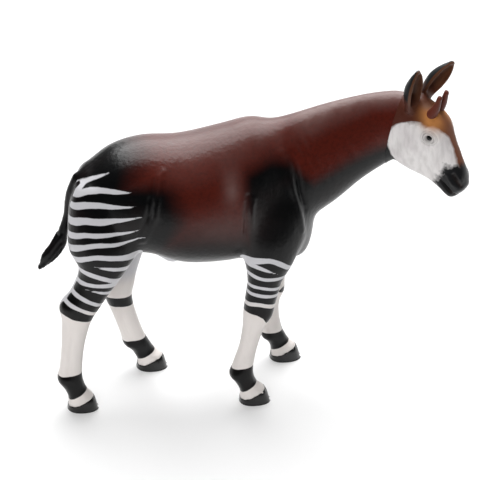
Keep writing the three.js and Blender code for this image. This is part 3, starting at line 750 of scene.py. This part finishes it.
BODY_LINES = (  # path on the near side (x, y, z), width, height
    (((24.4, -12.0, 77), (23.3, -12.7, 75.5), (22.1, -15.7, 69.5),
     (21.4, -16.2, 64.2), (18.0, -15.1, 55.5)), 1.0, 0.8),
    (((22.0, -13.0, 74), (20.2, -15.4, 69.5), (19.5, -16.0, 64.0), (16.5, -15.3, 57)), 0.9, -1.0),
    (((60.0, -10.0, 80), (61.6, -11.7, 73.3), (62.5, -11.8, 68.4),
     (64.0, -12.0, 62.4), (65.6, -12.2, 55.0)), 1.1, 0.9),
    (((62.6, -9.0, 79), (64.2, -10.6, 73), (65.2, -11.0, 67.0), (66.6, -10.8, 61.0)), 0.9, -0.9),
    (((50.6, -15.3, 68), (50.0, -15.5, 65), (49.9, -15.7, 62.0), (50.2, -15.5, 57.5)), 0.8, 0.7),
    (((48.8, -15.3, 69), (48.2, -15.5, 64), (48.3, -15.5, 57), (49.4, -15.3, 52)), 0.8, -0.9),
    (((64.0, -7.0, 84), (66.3, -9.0, 78), (68.5, -10.0, 73)), 0.45, -0.35),
    (((66.6, -6.5, 84.5), (69.0, -9.0, 78), (71.0, -9.8, 73)), 0.45, -0.3),
    (((62.0, -4.0, 88), (61.0, -7.5, 83.5), (61.2, -9.6, 79)), 0.6, -0.3),
    (((70.5, -9.0, 76), (72.0, -9.5, 68)), 0.35, -0.2),
    (((73.0, -8.8, 77), (74.5, -9.2, 69)), 0.35, -0.2),
    (((76.0, -8.5, 79), (77.2, -8.8, 71.5)), 0.35, -0.18),
    (((80.0, -8.2, 80), (81.0, -8.6, 74)), 0.35, -0.18),
)
LEG_SWELLS = (  # leg kind, x, z and size of the swell, height
    ("hind", -4.6, 33.0, 2.6, 0.7),
    ("hind", 3.0, 34.5, 3.0, 0.4),
    ("hind", -5.6, 10.0, 1.6, 0.4),
    ("fore", 56.0, 27.5, 2.6, 0.45),
    ("fore", 44.6, 9.0, 1.6, 0.4),
)
LINE_MARGIN, LINE_FULLNESS = 0.06, 0.5  # of the body's drawn lines
# The shoulder leans in at the top and out at the bottom, about this x and z and over this reach.
SHOULDER_LEAN, SHOULDER_AT, SHOULDER_REACH, SHOULDER_FOOT = 0.95, (57, 60), (9, 28), (37, 45)
# Grooves between bone and tendon down the shanks, a little behind the middle, and the fades at both ends.
GROOVE_DEPTH, GROOVE_WIDTH, GROOVE_BEHIND = 0.35, 0.7, 1.0
GROOVE_FOOT, GROOVE_TOP = (11, 14), (27, 23)
# Hair lines cut into the tuft, as waves: half depth and how fast the wave turns along x, y and z.
HAIR_DEPTH, HAIR_TURNS = 0.34, (3.64, 2.0, -2.52)


def drawn_lines(points, lines, margin, fullness):
    """The lift of drawn lines, each a path, width and height: a bell across it, which fades towards its ends
    by sin(pi t) to the power of `fullness`, with t held `margin` away from both ends."""
    lift = np.zeros(len(points))
    for path, width, height in lines:
        gap, where = path_distance(points, path)
        lift += height * bell(gap, width) * np.sin(pi * np.clip(where, margin, 1 - margin)) ** fullness
    return lift


def sculpt_body(points, quads):
    """Lifts the body's points along their normals by its folds, swells, grooves and hair lines."""
    x, z = points[:, 0], points[:, 2]
    lift = drawn_lines(folded(points, -1), BODY_LINES, LINE_MARGIN, LINE_FULLNESS)
    for kind, at_x, at_z, size, height in LEG_SWELLS:
        leg_x, leg_z = as_right_leg(points, kind)
        lift += height * bell(np.hypot(leg_x - at_x, leg_z - at_z), size)
    lean = np.sin(pi * np.clip((SHOULDER_AT[1] - z) / SHOULDER_REACH[1], -0.5, 0.5))
    lift += SHOULDER_LEAN * lean * bell(x - SHOULDER_AT[0], SHOULDER_REACH[0]) * step(*SHOULDER_FOOT, z)
    normals = normals_of(points, quads)
    for kind in ("hind", "fore"):
        leg_x, leg_z = as_right_leg(points, kind)
        groove = bell(leg_x - leg_middle(kind, leg_z) + GROOVE_BEHIND, GROOVE_WIDTH)
        groove *= step(*GROOVE_FOOT, leg_z) * step(*GROOVE_TOP, leg_z) * step(0.3, 0.8, np.abs(normals[:, 1]))
        lift -= GROOVE_DEPTH * groove
    lift += np.where(in_box(points, TUFT_HAIR), HAIR_DEPTH * np.sin(points @ HAIR_TURNS), 0)
    return points + lift[:, None] * normals


# The nostril slit and the line of the mouth, on the left side of the head's frame.
NOSTRIL = ((19.4, 3.4, 3.9), (21.2, 3.0, 3.4), (23.4, 2.2, 2.9))
MOUTH = ((16.6, 4.4, -1.0), (19.0, 4.4, -0.5), (21.6, 4.1, -0.3), (24.2, 2.8, -0.2), (25.3, 0, -0.1))
HEAD_LINES = (  # path on the left side, width, height
    (((3.0, 6.5, 7.6), (5.5, 6.0, 8.6), (8.5, 5.0, 8.3)), 1.3, 0.4),  # ridge over the eye
    (((7.6, 5.8, 5.2), (8.8, 5.4, 4.2)), 0.3, -0.3),  # crease at the eye's front corner
    (NOSTRIL, 0.5, -1.0),
    (((18.6, 4.0, 2.4), (21.0, 3.8, 2.0), (23.6, 2.8, 1.7)), 0.6, 0.4),  # wing under the nostril
    (((18.0, 3.6, 5.6), (20.0, 3.2, 5.2), (22.6, 2.2, 4.4)), 0.6, 0.3),  # rim over the nostril
    (MOUTH, 0.42, -1.0),
    (((20.5, 4, -2.4), (23.5, 3.2, -1.9), (24.6, 0, -1.8)), 1.2, 0.45),  # lower lip
    (((1.0, 6.0, -2.0), (7.0, 5.8, -1.2), (13.0, 4.4, 0.2)), 1.0, 0.22),  # cheekbone
    (((3.0, 5, -7.5), (8.0, 4.5, -7.8)), 2.2, 0.4),  # jaw
    (((9.0, 5, 3.0), (13.0, 4.2, 2.6)), 1.6, -0.3),  # hollow before the eye
)
HEAD_LINE_MARGIN, HEAD_LINE_FULLNESS = 0.08, 0.4  # of the head's drawn lines
# The eye's hollow and its rings of lids: radius, width, height.
EYE_RINGS = ((0, 0.75, -1.1), (1.55, 0.5, 0.42), (2.35, 0.35, -0.2), (2.9, 0.4, 0.16))


def sculpt_head(local, quads):
    """Lifts the head's points along their normals by its lids, ridges, nostrils and lips."""
    left = folded(local, 1)
    lift = step(*EYE_SIDE, left[:, 1]) * rings(eye_distance(left), EYE_RINGS)
    lift += drawn_lines(left, HEAD_LINES, HEAD_LINE_MARGIN, HEAD_LINE_FULLNESS)
    return local + lift[:, None] * normals_of(local, quads)


# Pieces

def add_piece(name, points, faces, material, fields=None, nodes=()):
    """A smooth mesh piece at its place in the row's frame, with named values on its points."""
    mesh = mesh_of(name, (points + ORIGIN) * MM, faces)
    mesh.shade_smooth()
    for key, values in (fields or {}).items():
        layer = mesh.attributes.new(key, "FLOAT", "POINT")
        layer.data.foreach_set("value", np.asarray(values, np.float32))
    mesh.materials.append(material)
    obj = bpy.data.objects.new(name, mesh)
    bpy.context.scene.collection.objects.link(obj)
    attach(obj, "root")
    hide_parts(*nodes)
    return obj


def cut_at_seam(obj, keep_front):
    """Cuts a closed piece by the mould seam's plane behind the jaw and closes the cut."""
    mesh = bmesh.new()
    mesh.from_mesh(obj.data)
    cut = bmesh.ops.bisect_plane(
        mesh,
        geom=mesh.verts[:] + mesh.edges[:] + mesh.faces[:],
        plane_co=Vector((SEAM_AT + ORIGIN) * MM),
        plane_no=Vector(SEAM_WAY),
        clear_inner=keep_front,
        clear_outer=not keep_front,
    )
    rim = [e for e in cut["geom_cut"] if isinstance(e, bmesh.types.BMEdge)]
    bmesh.ops.triangle_fill(mesh, edges=rim, use_beauty=True)
    bmesh.ops.recalc_face_normals(mesh, faces=mesh.faces)
    mesh.to_mesh(obj.data)
    mesh.free()


def skull_form():
    """The head without its ears, from poll to muzzle, as a boxy sweep along its own x axis."""
    return placed(sweep(HEAD, **LYING, square=2.4, domes=(4.5, 1.8)), from_head)


def ear_frame(side):
    """An ear's root and its axes in the head's frame: along it, across it and out of its open side."""
    root, axis, opened = (np.array(v, float) for v in EAR_SET[side])
    axis /= np.linalg.norm(axis)
    opened -= axis * (opened @ axis)
    opened /= np.linalg.norm(opened)
    return root, np.stack([axis, np.cross(opened, axis), opened])


def ear_form(side):
    """A leaf-shaped cup: its front sheet is pulled in to -(depth - wall) sqrt(1 - (y / (half - rim))^2),
    which leaves a thin wall, and fades back to the plain leaf at the root and the tip."""
    root, axes = ear_frame(side)
    points, faces = sweep(EAR, **LYING, around=96, per_station=16, square=2.0, domes=(0.8, 0.8))
    x, y, z = points.T
    half, depth = np.interp(x, EAR[:, 0], EAR[:, 3]), np.interp(x, EAR[:, 0], EAR[:, 5])
    cup = np.sqrt(np.clip(1 - (y / (half - EAR_RIM)) ** 2, 0, 1))
    hollow = step(*EAR_CUP_ROOT, x) * step(*EAR_CUP_TIP, x) * ((z > 0) & (cup > 0))
    points[:, 2] += hollow * (-(depth - EAR_WALL) * cup - z)
    return from_head(points @ axes + root), faces


def hoof_form():
    """A closed hoof round its own middle, from above the coronet to below the sole."""
    return sweep(HOOF, **STANDING, around=96, per_station=14, square=2.3, domes=(0.8, 0.5))


def coronet_height(x):
    """A line that rises from heel to toe and levels off: h = CORONET + CORONET_RISE r tanh(x / r)."""
    return CORONET + CORONET_RISE * TOE_ROUND * np.tanh(x / TOE_ROUND)


def pastern_form(sole):
    """What of the hoof's form lies above the slanted coronet, slimmer and sunk a little into the hoof."""
    points, faces = hoof_form()
    points[:, :2] *= PASTERN_SLIM
    points[:, 2] = np.maximum(points[:, 2], coronet_height(points[:, 0]) - PASTERN_SINK)
    return points + (*sole, 0), faces


def body_skin(voxel):
    """All forms of flesh fused, relaxed most where limbs and neck grow out of the trunk, and sculpted."""
    forms = [
        sweep(TRUNK, **LYING, around=96, per_station=14, domes=(4.2, 5.5)),
        sweep(NECK, around=72, per_station=14, domes=(3, 3)),
        skull_form(),
        sweep(TAIL, **STANDING, around=32, square=2.0, domes=(1, 0.3)),
        sweep(TUFT, **STANDING, around=32, square=2.0, domes=(0.3, 1.2)),
        sweep(SHEATH, **LYING, around=24, square=2.0, domes=(1.2, 1.2)),
    ]
    for place in LEGS:
        forms.append(sweep(LEG[place], **STANDING, domes=(3, 0.6)))
        forms.append(pastern_form(SOLES[place]))
    points, quads = fused(forms, voxel)
    thick = step(*FLESH_ABOVE, points[:, 2]) * step(*FLESH_AHEAD, points[:, 0])
    thick *= 1 - bell(np.linalg.norm(points - SHEATH_KEPT_AT, axis=1), SHEATH_KEPT_REACH)
    points = relaxed(points, quads, SHANK_RELAX + FLESH_RELAX * thick, BODY_ROUNDS)
    neck_root = bell(np.linalg.norm((points - NECK_ROOT) / NECK_ROOT_REACH, axis=1), 1.0)
    points = relaxed(points, quads, NECK_ROOT_RELAX * neck_root, NECK_ROOT_ROUNDS)
    return sculpt_body(points, quads), quads


def head_skin(voxel):
    """Head, ears and the neck's end fused, relaxed least on the ears, and sculpted, in the head's frame."""
    forms = [skull_form(), sweep(NECK[2:], around=72, domes=(3, 3))]
    forms += [ear_form(side) for side, _ in HANDS]
    points, quads = fused(forms, voxel)
    ears = ear_share(to_head(points))
    points = relaxed(points, quads, HEAD_RELAX - EAR_KEPT * ears, HEAD_ROUNDS)
    return sculpt_head(to_head(points), quads), quads, ears


# Materials

def new_material(name):
    """A material of that name, its node tree and its shader."""
    material = bpy.data.materials.new(name)
    material.use_nodes = True
    tree = material.node_tree
    return material, tree, tree.nodes["Principled BSDF"]


def feed(tree, socket, value):
    """Links a node's output to a socket, or sets the socket to a plain value."""
    if isinstance(value, bpy.types.NodeSocket):
        tree.links.new(value, socket)
    else:
        socket.default_value = value


def node(tree, kind, inputs=(), **settings):
    """A new shader node with its settings and its inputs, each a value or another node's output."""
    made = tree.nodes.new("ShaderNode" + kind)
    for key, value in settings.items():
        setattr(made, key, value)
    for key, value in dict(inputs).items():
        feed(tree, made.inputs[key], value)
    return made


def math_node(tree, operation, a, b, clamp=False):
    """The value of a operation b."""
    return node(tree, "Math", {0: a, 1: b}, operation=operation, use_clamp=clamp).outputs[0]


def times(tree, a, b, clamp=False):
    return math_node(tree, "MULTIPLY", a, b, clamp)


def plus(tree, a, b, clamp=False):
    return math_node(tree, "ADD", a, b, clamp)


def mix(tree, factor, a, b):
    """Colour a where the factor is 0 and b where it is 1."""
    made = node(tree, "Mix", {"Factor": factor}, data_type="RGBA")
    for label, value in (("A", a), ("B", b)):
        target = next(i for i in made.inputs if i.name == label and i.type == "RGBA")
        feed(tree, target, value if isinstance(value, bpy.types.NodeSocket) else (*value, 1))
    return next(o for o in made.outputs if o.type == "RGBA")


def noise(tree, scale, detail=3.0, stretch=(1, 1, 1)):
    """A noise from 0 to 1 on Object coordinates, of about `scale` patches to the metre."""
    place = node(tree, "TexCoord").outputs["Object"]
    place = node(tree, "Mapping", {"Vector": place, "Scale": stretch}).outputs[0]
    return node(tree, "TexNoise", {"Vector": place, "Scale": scale, "Detail": detail}).outputs["Fac"]


def spots(tree, pattern, threshold, contrast):
    """(pattern - threshold) contrast, held between 0 and 1."""
    return times(tree, plus(tree, pattern, -threshold), contrast, clamp=True)


def field(tree, name):
    """The named value on the piece's points."""
    return node(tree, "Attribute", attribute_name=name).outputs["Fac"]


def group_of(name, inputs, output):
    """A shader node group with the named inputs and one output, and the nodes at its two ends."""
    group = bpy.data.node_groups.new(name, "ShaderNodeTree")
    for label, kind in inputs:
        group.interface.new_socket(label, in_out="INPUT", socket_type="NodeSocket" + kind)
    group.interface.new_socket(output[0], in_out="OUTPUT", socket_type="NodeSocket" + output[1])
    return group, group.nodes.new("NodeGroupInput").outputs, group.nodes.new("NodeGroupOutput").inputs


def build_edge(name):
    """Mask = (Field + Wobble (noise - 0.5)) / Softness + 0.5, held between 0 and 1."""
    floats = [(label, "Float") for label in ("Field", "Softness", "Scale", "Wobble")]
    group, given, result = group_of(name, [("Vector", "Vector"), *floats], ("Mask", "Float"))
    inputs = {"Vector": given["Vector"], "Scale": given["Scale"], "Detail": 3.0}
    grain = node(group, "TexNoise", inputs).outputs["Fac"]
    moved = plus(group, given["Field"], times(group, plus(group, grain, -0.5), given["Wobble"]))
    scaled = math_node(group, "DIVIDE", moved, given["Softness"])
    group.links.new(plus(group, scaled, 0.5, clamp=True), result["Mask"])
    return group


def build_texture(name):
    """Normal of a height that is two parts faint orange-peel and three parts short hair lines."""
    inputs = [("Vector", "Vector"), ("Stretch", "Vector"), ("Strength", "Float"), ("Depth", "Float")]
    group, given, result = group_of(name, inputs, ("Normal", "Vector"))
    peel = node(group, "TexNoise", {"Vector": given["Vector"], "Scale": 900.0, "Detail": 2.0}).outputs["Fac"]
    drawn = node(group, "Mapping", {"Vector": given["Vector"], "Scale": given["Stretch"]}).outputs[0]
    hair = node(group, "TexNoise", {"Vector": drawn, "Scale": 700.0, "Detail": 2.0}).outputs["Fac"]
    height = plus(group, times(group, peel, 0.4), times(group, hair, 0.6))
    bump = node(group, "Bump", {"Height": height, "Strength": given["Strength"], "Distance": given["Depth"]})
    group.links.new(bump.outputs[0], result["Normal"])
    return group


def grouped(tree, name, build, inputs):
    """Places the node group of that name, built the first time it is asked for, on Object coordinates."""
    made = node(tree, "Group", node_tree=bpy.data.node_groups.get(name) or build(name))
    place = node(tree, "TexCoord").outputs["Object"]
    for key, value in {"Vector": place, **inputs}.items():
        feed(tree, made.inputs[key], value)
    return made.outputs[0]


def edge(tree, value, softness, scale, size):
    """0 outside and 1 inside a painted field, over `softness` millimetres, its edge moved by a noise."""
    inputs = {"Field": value, "Softness": softness, "Scale": scale, "Wobble": size}
    return grouped(tree, "painted_edge", build_edge, inputs)


def moulded_bump(tree, shader, depth, strength, stretch=(1, 1, 1)):
    """The mould's faint orange-peel and short hair lines, `depth` millimetres high."""
    inputs = {"Stretch": stretch, "Strength": strength, "Depth": depth * MM}
    tree.links.new(grouped(tree, "moulded_texture", build_texture, inputs), shader.inputs["Normal"])


def rough_from(tree, shader, pattern, spread, least):
    """Roughness = pattern spread + least."""
    rough = plus(tree, times(tree, pattern, spread), least)
    tree.links.new(rough, shader.inputs["Roughness"])


# Paints that a user would hardly change.
MAROON_DARK = (0.050, 0.009, 0.006)
MAROON_DEEP = (0.020, 0.005, 0.004)
DIRTY_WHITE = (0.66, 0.61, 0.585)
STRIPE_WHITE = (0.60, 0.595, 0.62)
NAPE = (0.085, 0.020, 0.012)
NAPE_DARK = (0.075, 0.024, 0.014)
BRIDGE_BROWN = (0.17, 0.060, 0.030)
CHEEK_WHITE = (0.86, 0.83, 0.82)
CHEEK_BLOTCH = (0.70, 0.645, 0.66)
CHEEK_STREAK = (0.52, 0.49, 0.48)
MUZZLE_BLACK = (0.012, 0.012, 0.013)
LID_AND_SLIT_SHADE = (0.03, 0.022, 0.02)
EAR_BACK = (0.010, 0.012, 0.013)
EAR_INSIDE = (0.12, 0.052, 0.026)
HORN_RED = (0.15, 0.030, 0.018)
HORN_BROWN = (0.10, 0.034, 0.022)
GLOSS_BLACK = (0.002, 0.002, 0.002)
WORN_BLACK = (0.006, 0.006, 0.006)


def body_material(paints):
    """Maroon airbrushed to black, dusted on top with painted sheen, with hand-painted white stripes and
    bands.
    """
    material, tree, shader = new_material("body_paint")
    maroon = mix(tree, noise(tree, 60), paints.maroon, MAROON_DARK)
    grain = spots(tree, noise(tree, 1100), 0.45, 3.0)
    maroon = mix(tree, times(tree, grain, 0.45), maroon, MAROON_DEEP)
    cloud = times(tree, plus(tree, noise(tree, 90), -0.5), 0.16)
    base = mix(tree, plus(tree, field(tree, "black"), cloud, clamp=True), maroon, paints.black)
    # dust with painted sheen on the tops, and a painted highlight on the flank
    dust_and_sheen = times(tree, field(tree, "dust_and_sheen"), plus(tree, noise(tree, 300, 4.0), 0.35), clamp=True)
    base = mix(tree, dust_and_sheen, base, paints.dust_and_sheen)
    dirt = times(tree, noise(tree, 260, 4.0, (1, 1, 0.3)), 0.5)
    white_paint = mix(tree, dirt, paints.white, DIRTY_WHITE)
    white_paint = mix(tree, field(tree, "upper"), white_paint, STRIPE_WHITE)
    white = edge(tree, field(tree, "white"), 0.16, 420, 0.28)
    tree.links.new(mix(tree, white, base, white_paint), shader.inputs["Base Color"])
    duller = times(tree, white, 0.12)
    rough_from(tree, shader, noise(tree, 140), 0.10, plus(tree, duller, 0.25))
    shader.inputs["Specular IOR Level"].default_value = 0.27
    moulded_bump(tree, shader, depth=0.18, strength=0.85, stretch=(1, 1, 0.25))
    return material


def head_material(paints):
    """Off-white cheeks, ochre brow, brown bridge and a black muzzle brushed back over the white."""
    material, tree, shader = new_material("head_paint")
    base = mix(tree, noise(tree, 120), NAPE, NAPE_DARK)
    base = mix(tree, field(tree, "bridge"), base, BRIDGE_BROWN)
    base = mix(tree, field(tree, "throat"), base, paints.black)
    blotches = spots(tree, noise(tree, 130), 0.4, 3.0)
    white_paint = mix(tree, times(tree, blotches, 0.6), CHEEK_WHITE, CHEEK_BLOTCH)
    streaks = spots(tree, noise(tree, 620, 4.0, (1, 1, 0.3)), 0.42, 4.0)
    white_paint = mix(tree, times(tree, streaks, 0.45), white_paint, CHEEK_STREAK)
    colour = mix(tree, edge(tree, field(tree, "white"), 0.9, 380, 1.5), base, white_paint)
    ochre = times(tree, field(tree, "ochre"), plus(tree, noise(tree, 200), 0.45), clamp=True)
    colour = mix(tree, ochre, colour, paints.ochre)
    muzzle = edge(tree, field(tree, "muzzle"), 2.0, 620, 5.0)
    colour = mix(tree, muzzle, colour, MUZZLE_BLACK)
    # dark lids round the eyes, and painted shade in the nostrils and along the mouth's line
    colour = mix(tree, times(tree, field(tree, "shade"), 0.85, clamp=True), colour, LID_AND_SLIT_SHADE)
    colour = mix(tree, field(tree, "ear_back"), colour, EAR_BACK)
    colour = mix(tree, times(tree, field(tree, "ear_in"), 0.8), colour, EAR_INSIDE)
    tree.links.new(colour, shader.inputs["Base Color"])
    rough_from(tree, shader, muzzle, -0.20, 0.50)
    shader.inputs["Specular IOR Level"].default_value = 0.3
    moulded_bump(tree, shader, depth=0.14, strength=0.8, stretch=(1, 1, 0.4))
    return material


def horn_material():
    """Matt red-brown with darker patches."""
    material, tree, shader = new_material("horn_paint")
    tree.links.new(mix(tree, noise(tree, 300, 4.0), HORN_RED, HORN_BROWN), shader.inputs["Base Color"])
    shader.inputs["Roughness"].default_value = 0.42
    shader.inputs["Specular IOR Level"].default_value = 0.25
    moulded_bump(tree, shader, depth=0.08, strength=0.4, stretch=(1, 1, 0.3))
    return material


def gloss_black(name, roughness):
    """Gloss black with faintly worn patches, at least as rough as `roughness`."""
    material, tree, shader = new_material(name)
    tree.links.new(mix(tree, noise(tree, 400), GLOSS_BLACK, WORN_BLACK), shader.inputs["Base Color"])
    rough_from(tree, shader, noise(tree, 300), 0.1, roughness)
    moulded_bump(tree, shader, depth=0.05, strength=0.3)
    return material


# Steps of the build

def paint(name, description, default):
    """A colour that the user may change."""
    return FloatVectorProperty(
        name=name, description=description, default=default, size=3, subtype="COLOR", min=0, max=1
    )


def amount(name, description, default, least=0.0, **kind):
    """A size, angle or power that the user may change."""
    return FloatProperty(name=name, description=description, default=default, min=least, **kind)


class OkapiSettings(bpy.types.PropertyGroup):
    """What may be changed before the build."""

    body_grid: amount("Body grid", "Grid of the body's skin, in millimetres", 0.5, 0.3)
    head_grid: amount("Head grid", "Grid of the head's skin, in millimetres", 0.22, 0.15)
    maroon: paint("Maroon", "Upper body and neck", (0.110, 0.012, 0.006))
    black: paint("Black", "Airbrushed black of the body", (0.0020, 0.0021, 0.0024))
    # The colour of the dust and of the painted sheen and highlight on the tops and the flank.
    dust_and_sheen: paint("Dust", "Dusty brown brushed over the top", (0.20, 0.125, 0.115))
    white: paint("White", "Shanks and inner legs", (0.80, 0.755, 0.725))
    ochre: paint("Ochre", "The brow", (0.60, 0.25, 0.075))
    camera_azimuth: amount("Camera azimuth", "Angle round the figure", radians(-6.5), -pi, subtype="ANGLE")
    camera_height: amount("Camera elevation", "Angle above the floor", radians(28), subtype="ANGLE")
    top_power: amount("Top power", "Power of the overhead panel, in watts", 38.0)
    back_power: amount("Back power", "Power of the panel behind, in watts", 3.0)
    front_power: amount("Front power", "Power of the panel in front, in watts", 17.0)
    room_light: amount("Room light", "Brightness of the room round the figure", 0.05)


class OKAPI_OT_body(bpy.types.Operator):
    """One skin over the trunk, neck, legs and tail"""

    bl_idname = "okapi.body"
    bl_label = "Body"

    def execute(self, context):
        settings = context.scene.okapi
        points, quads = body_skin(settings.body_grid)
        fields = body_fields(points, normals_of(points, quads))
        nodes = ["trunk", "neck", "tail", "tail_tuft"] + ["leg_" + place for place in LEGS]
        obj = add_piece("body_skin", points, quads, body_material(settings), fields, nodes)
        cut_at_seam(obj, keep_front=False)
        return {"FINISHED"}


class OKAPI_OT_head(bpy.types.Operator):
    """One skin over the head and both ears"""

    bl_idname = "okapi.head"
    bl_label = "Head"

    def execute(self, context):
        settings = context.scene.okapi
        local, quads, ears = head_skin(settings.head_grid)
        fields = head_fields(local, normals_of(local, quads), ears)
        nodes = ["head", "ear_left", "ear_right"]
        obj = add_piece("head_skin", from_head(local), quads, head_material(settings), fields, nodes)
        cut_at_seam(obj, keep_front=True)
        return {"FINISHED"}


class OKAPI_OT_horns(bpy.types.Operator):
    """Both blunt horns, leaning back"""

    bl_idname = "okapi.horns"
    bl_label = "Horns"

    def execute(self, context):
        material = horn_material()
        axes = {"side": (0, 1, 0), "up": (-1, 0, 0)}
        for side, hand in HANDS:
            stations = HORN * (1, hand, 1, 1, 1, 1)
            points, faces = sweep(stations, **axes, around=40, square=2.0, domes=(0.5, 0.6))
            obj = add_piece("horn_skin_" + side, from_head(points), faces, material, nodes=["horn_" + side])
        return {"FINISHED"}


class OKAPI_OT_eyes(bpy.types.Operator):
    """Both dark eyeballs, set between the lids"""

    bl_idname = "okapi.eyes"
    bl_label = "Eyes"

    def execute(self, context):
        material = gloss_black("eye_paint", 0.06)
        for side, hand in HANDS:
            centre = from_head(EYE_AT * (1, hand, 1) - (0, hand * EYE_SUNK, 0))
            points, faces = sweep(EYEBALL, **LYING, around=40, square=2.0, domes=(0.65, 0.65))
            obj = add_piece("eyeball_" + side, points + centre, faces, material, nodes=["eye_" + side])
        return {"FINISHED"}


class OKAPI_OT_hooves(bpy.types.Operator):
    """Four cloven hooves, flat underneath"""

    bl_idname = "okapi.hooves"
    bl_label = "Hooves"

    def execute(self, context):
        material = gloss_black("hoof_paint", 0.16)
        for place in LEGS:
            points, faces = hoof_form()
            cleft = bell(points[:, 1], CLEFT_WIDTH) * step(*CLEFT_AHEAD, points[:, 0])
            points[:, 0] -= CLEFT_DEPTH * cleft
            points[:, 2] = np.clip(points[:, 2], 0.0, coronet_height(points[:, 0]))
            points += (*SOLES[place], 0)
            obj = add_piece("hoof_skin_" + place, points, faces, material, nodes=["hoof_" + place])
        return {"FINISHED"}


def camera_axes(settings):
    """The picture's right, its up, and the way back to the camera, as unit vectors."""
    a, e = settings.camera_azimuth, settings.camera_height
    right = np.array((cos(a), sin(a), 0))
    back = np.array((sin(a) * cos(e), -cos(a) * cos(e), sin(e)))
    return right, np.cross(back, right), back


def picture_centre(right, up, back):
    """What the picture's centre shows at the figure's middle depth, from the near hind sole's pixel."""
    sole = np.array((*SOLES["hind_right"], 0.0))
    across = (PICTURE / 2 - SOLE_PIXEL[0]) / CAMERA_SCALE + sole @ right
    high = (SOLE_PIXEL[1] - PICTURE / 2) / CAMERA_SCALE + sole @ up
    return across * right + high * up + back * (np.array(FIGURE_MIDDLE) @ back)


def add_turned(scene, name, data, place, way):
    """Adds a camera or a lamp at its place, looking the given way."""
    obj = bpy.data.objects.new(name, data)
    obj.location = place
    obj.rotation_mode = "QUATERNION"
    obj.rotation_quaternion = way.to_track_quat("-Z", "Y")
    scene.collection.objects.link(obj)
    return obj


class OKAPI_OT_stage(bpy.types.Operator):
    """Pale floor, soft lights and the camera at the photograph's angle"""

    bl_idname = "okapi.stage"
    bl_label = "Stage"

    def execute(self, context):
        scene = context.scene
        settings = scene.okapi
        self.add_floor(scene)
        self.add_lights(scene, settings)
        self.add_camera(scene, settings)
        scene.view_settings.view_transform = "Standard"
        return {"FINISHED"}

    def add_floor(self, scene):
        """A pale sheet that ends just in front of the figure."""
        near, far = FLOOR_SPAN
        corners = [(-FLOOR_HALF, near, 0), (FLOOR_HALF, near, 0), (FLOOR_HALF, far, 0), (-FLOOR_HALF, far, 0)]
        mesh = mesh_of("floor", np.array(corners), [[0, 1, 2, 3]])
        material, _, shader = new_material("floor")
        shader.inputs["Base Color"].default_value = (*FLOOR_GREY, 1)
        shader.inputs["Roughness"].default_value = 0.7
        shader.inputs["Specular IOR Level"].default_value = 0.2
        shader.inputs["Emission Color"].default_value = (1, 1, 1, 1)
        shader.inputs["Emission Strength"].default_value = FLOOR_GLOW
        mesh.materials.append(material)
        floor = bpy.data.objects.new("floor", mesh)
        scene.collection.objects.link(floor)

    def add_lights(self, scene, settings):
        """Three square panels and a dim white room."""
        world = bpy.data.worlds.new("studio")
        world.use_nodes = True
        background = world.node_tree.nodes["Background"].inputs
        background["Color"].default_value = (1, 1, 1, 1)
        background["Strength"].default_value = settings.room_light
        scene.world = world
        powers = {"top": settings.top_power, "back": settings.back_power, "front": settings.front_power}
        for name, place, size, glossy in PANELS:
            lamp = bpy.data.lights.new(name + "_panel", "AREA")
            lamp.shape = "SQUARE"
            lamp.size = size
            lamp.energy = powers[name]
            obj = add_turned(scene, name + "_panel", lamp, place, Vector(PANELS_AIM) - Vector(place))
            obj.visible_glossy = glossy

    def add_camera(self, scene, settings):
        """A far camera, whose view is nearly parallel, as long lenses give."""
        right, up, back = camera_axes(settings)
        target = Vector((picture_centre(right, up, back) + ORIGIN) * MM)
        back = Vector(back)
        data = bpy.data.cameras.new("camera")
        data.sensor_width = SENSOR
        data.lens = CAMERA_SCALE * SENSOR * CAMERA_FAR / PICTURE
        data.clip_start, data.clip_end = 0.05, 20
        scene.camera = add_turned(scene, "camera", data, target + back * CAMERA_FAR * MM, -back)


class OKAPI_PT_panel(bpy.types.Panel):
    """Lists the steps of the build"""

    bl_label = "Okapi"
    bl_space_type = "VIEW_3D"
    bl_region_type = "UI"
    bl_category = "Okapi"

    def draw(self, context):
        for key in OkapiSettings.__annotations__:
            self.layout.prop(context.scene.okapi, key)
        for step_class in STEPS:
            self.layout.operator(step_class.bl_idname)


STEPS = (OKAPI_OT_body, OKAPI_OT_head, OKAPI_OT_horns, OKAPI_OT_eyes, OKAPI_OT_hooves, OKAPI_OT_stage)
CLASSES = (OkapiSettings, *STEPS, OKAPI_PT_panel)


def register():
    for each in CLASSES:
        bpy.utils.register_class(each)
    bpy.types.Scene.okapi = PointerProperty(type=OkapiSettings)


def unregister():
    del bpy.types.Scene.okapi
    for each in reversed(CLASSES):
        bpy.utils.unregister_class(each)


def main():
    register()
    bpy.ops.okapi.body()
    bpy.ops.okapi.head()
    bpy.ops.okapi.horns()
    bpy.ops.okapi.eyes()
    bpy.ops.okapi.hooves()
    bpy.ops.okapi.stage()


if __name__ == "__main__":
    main()
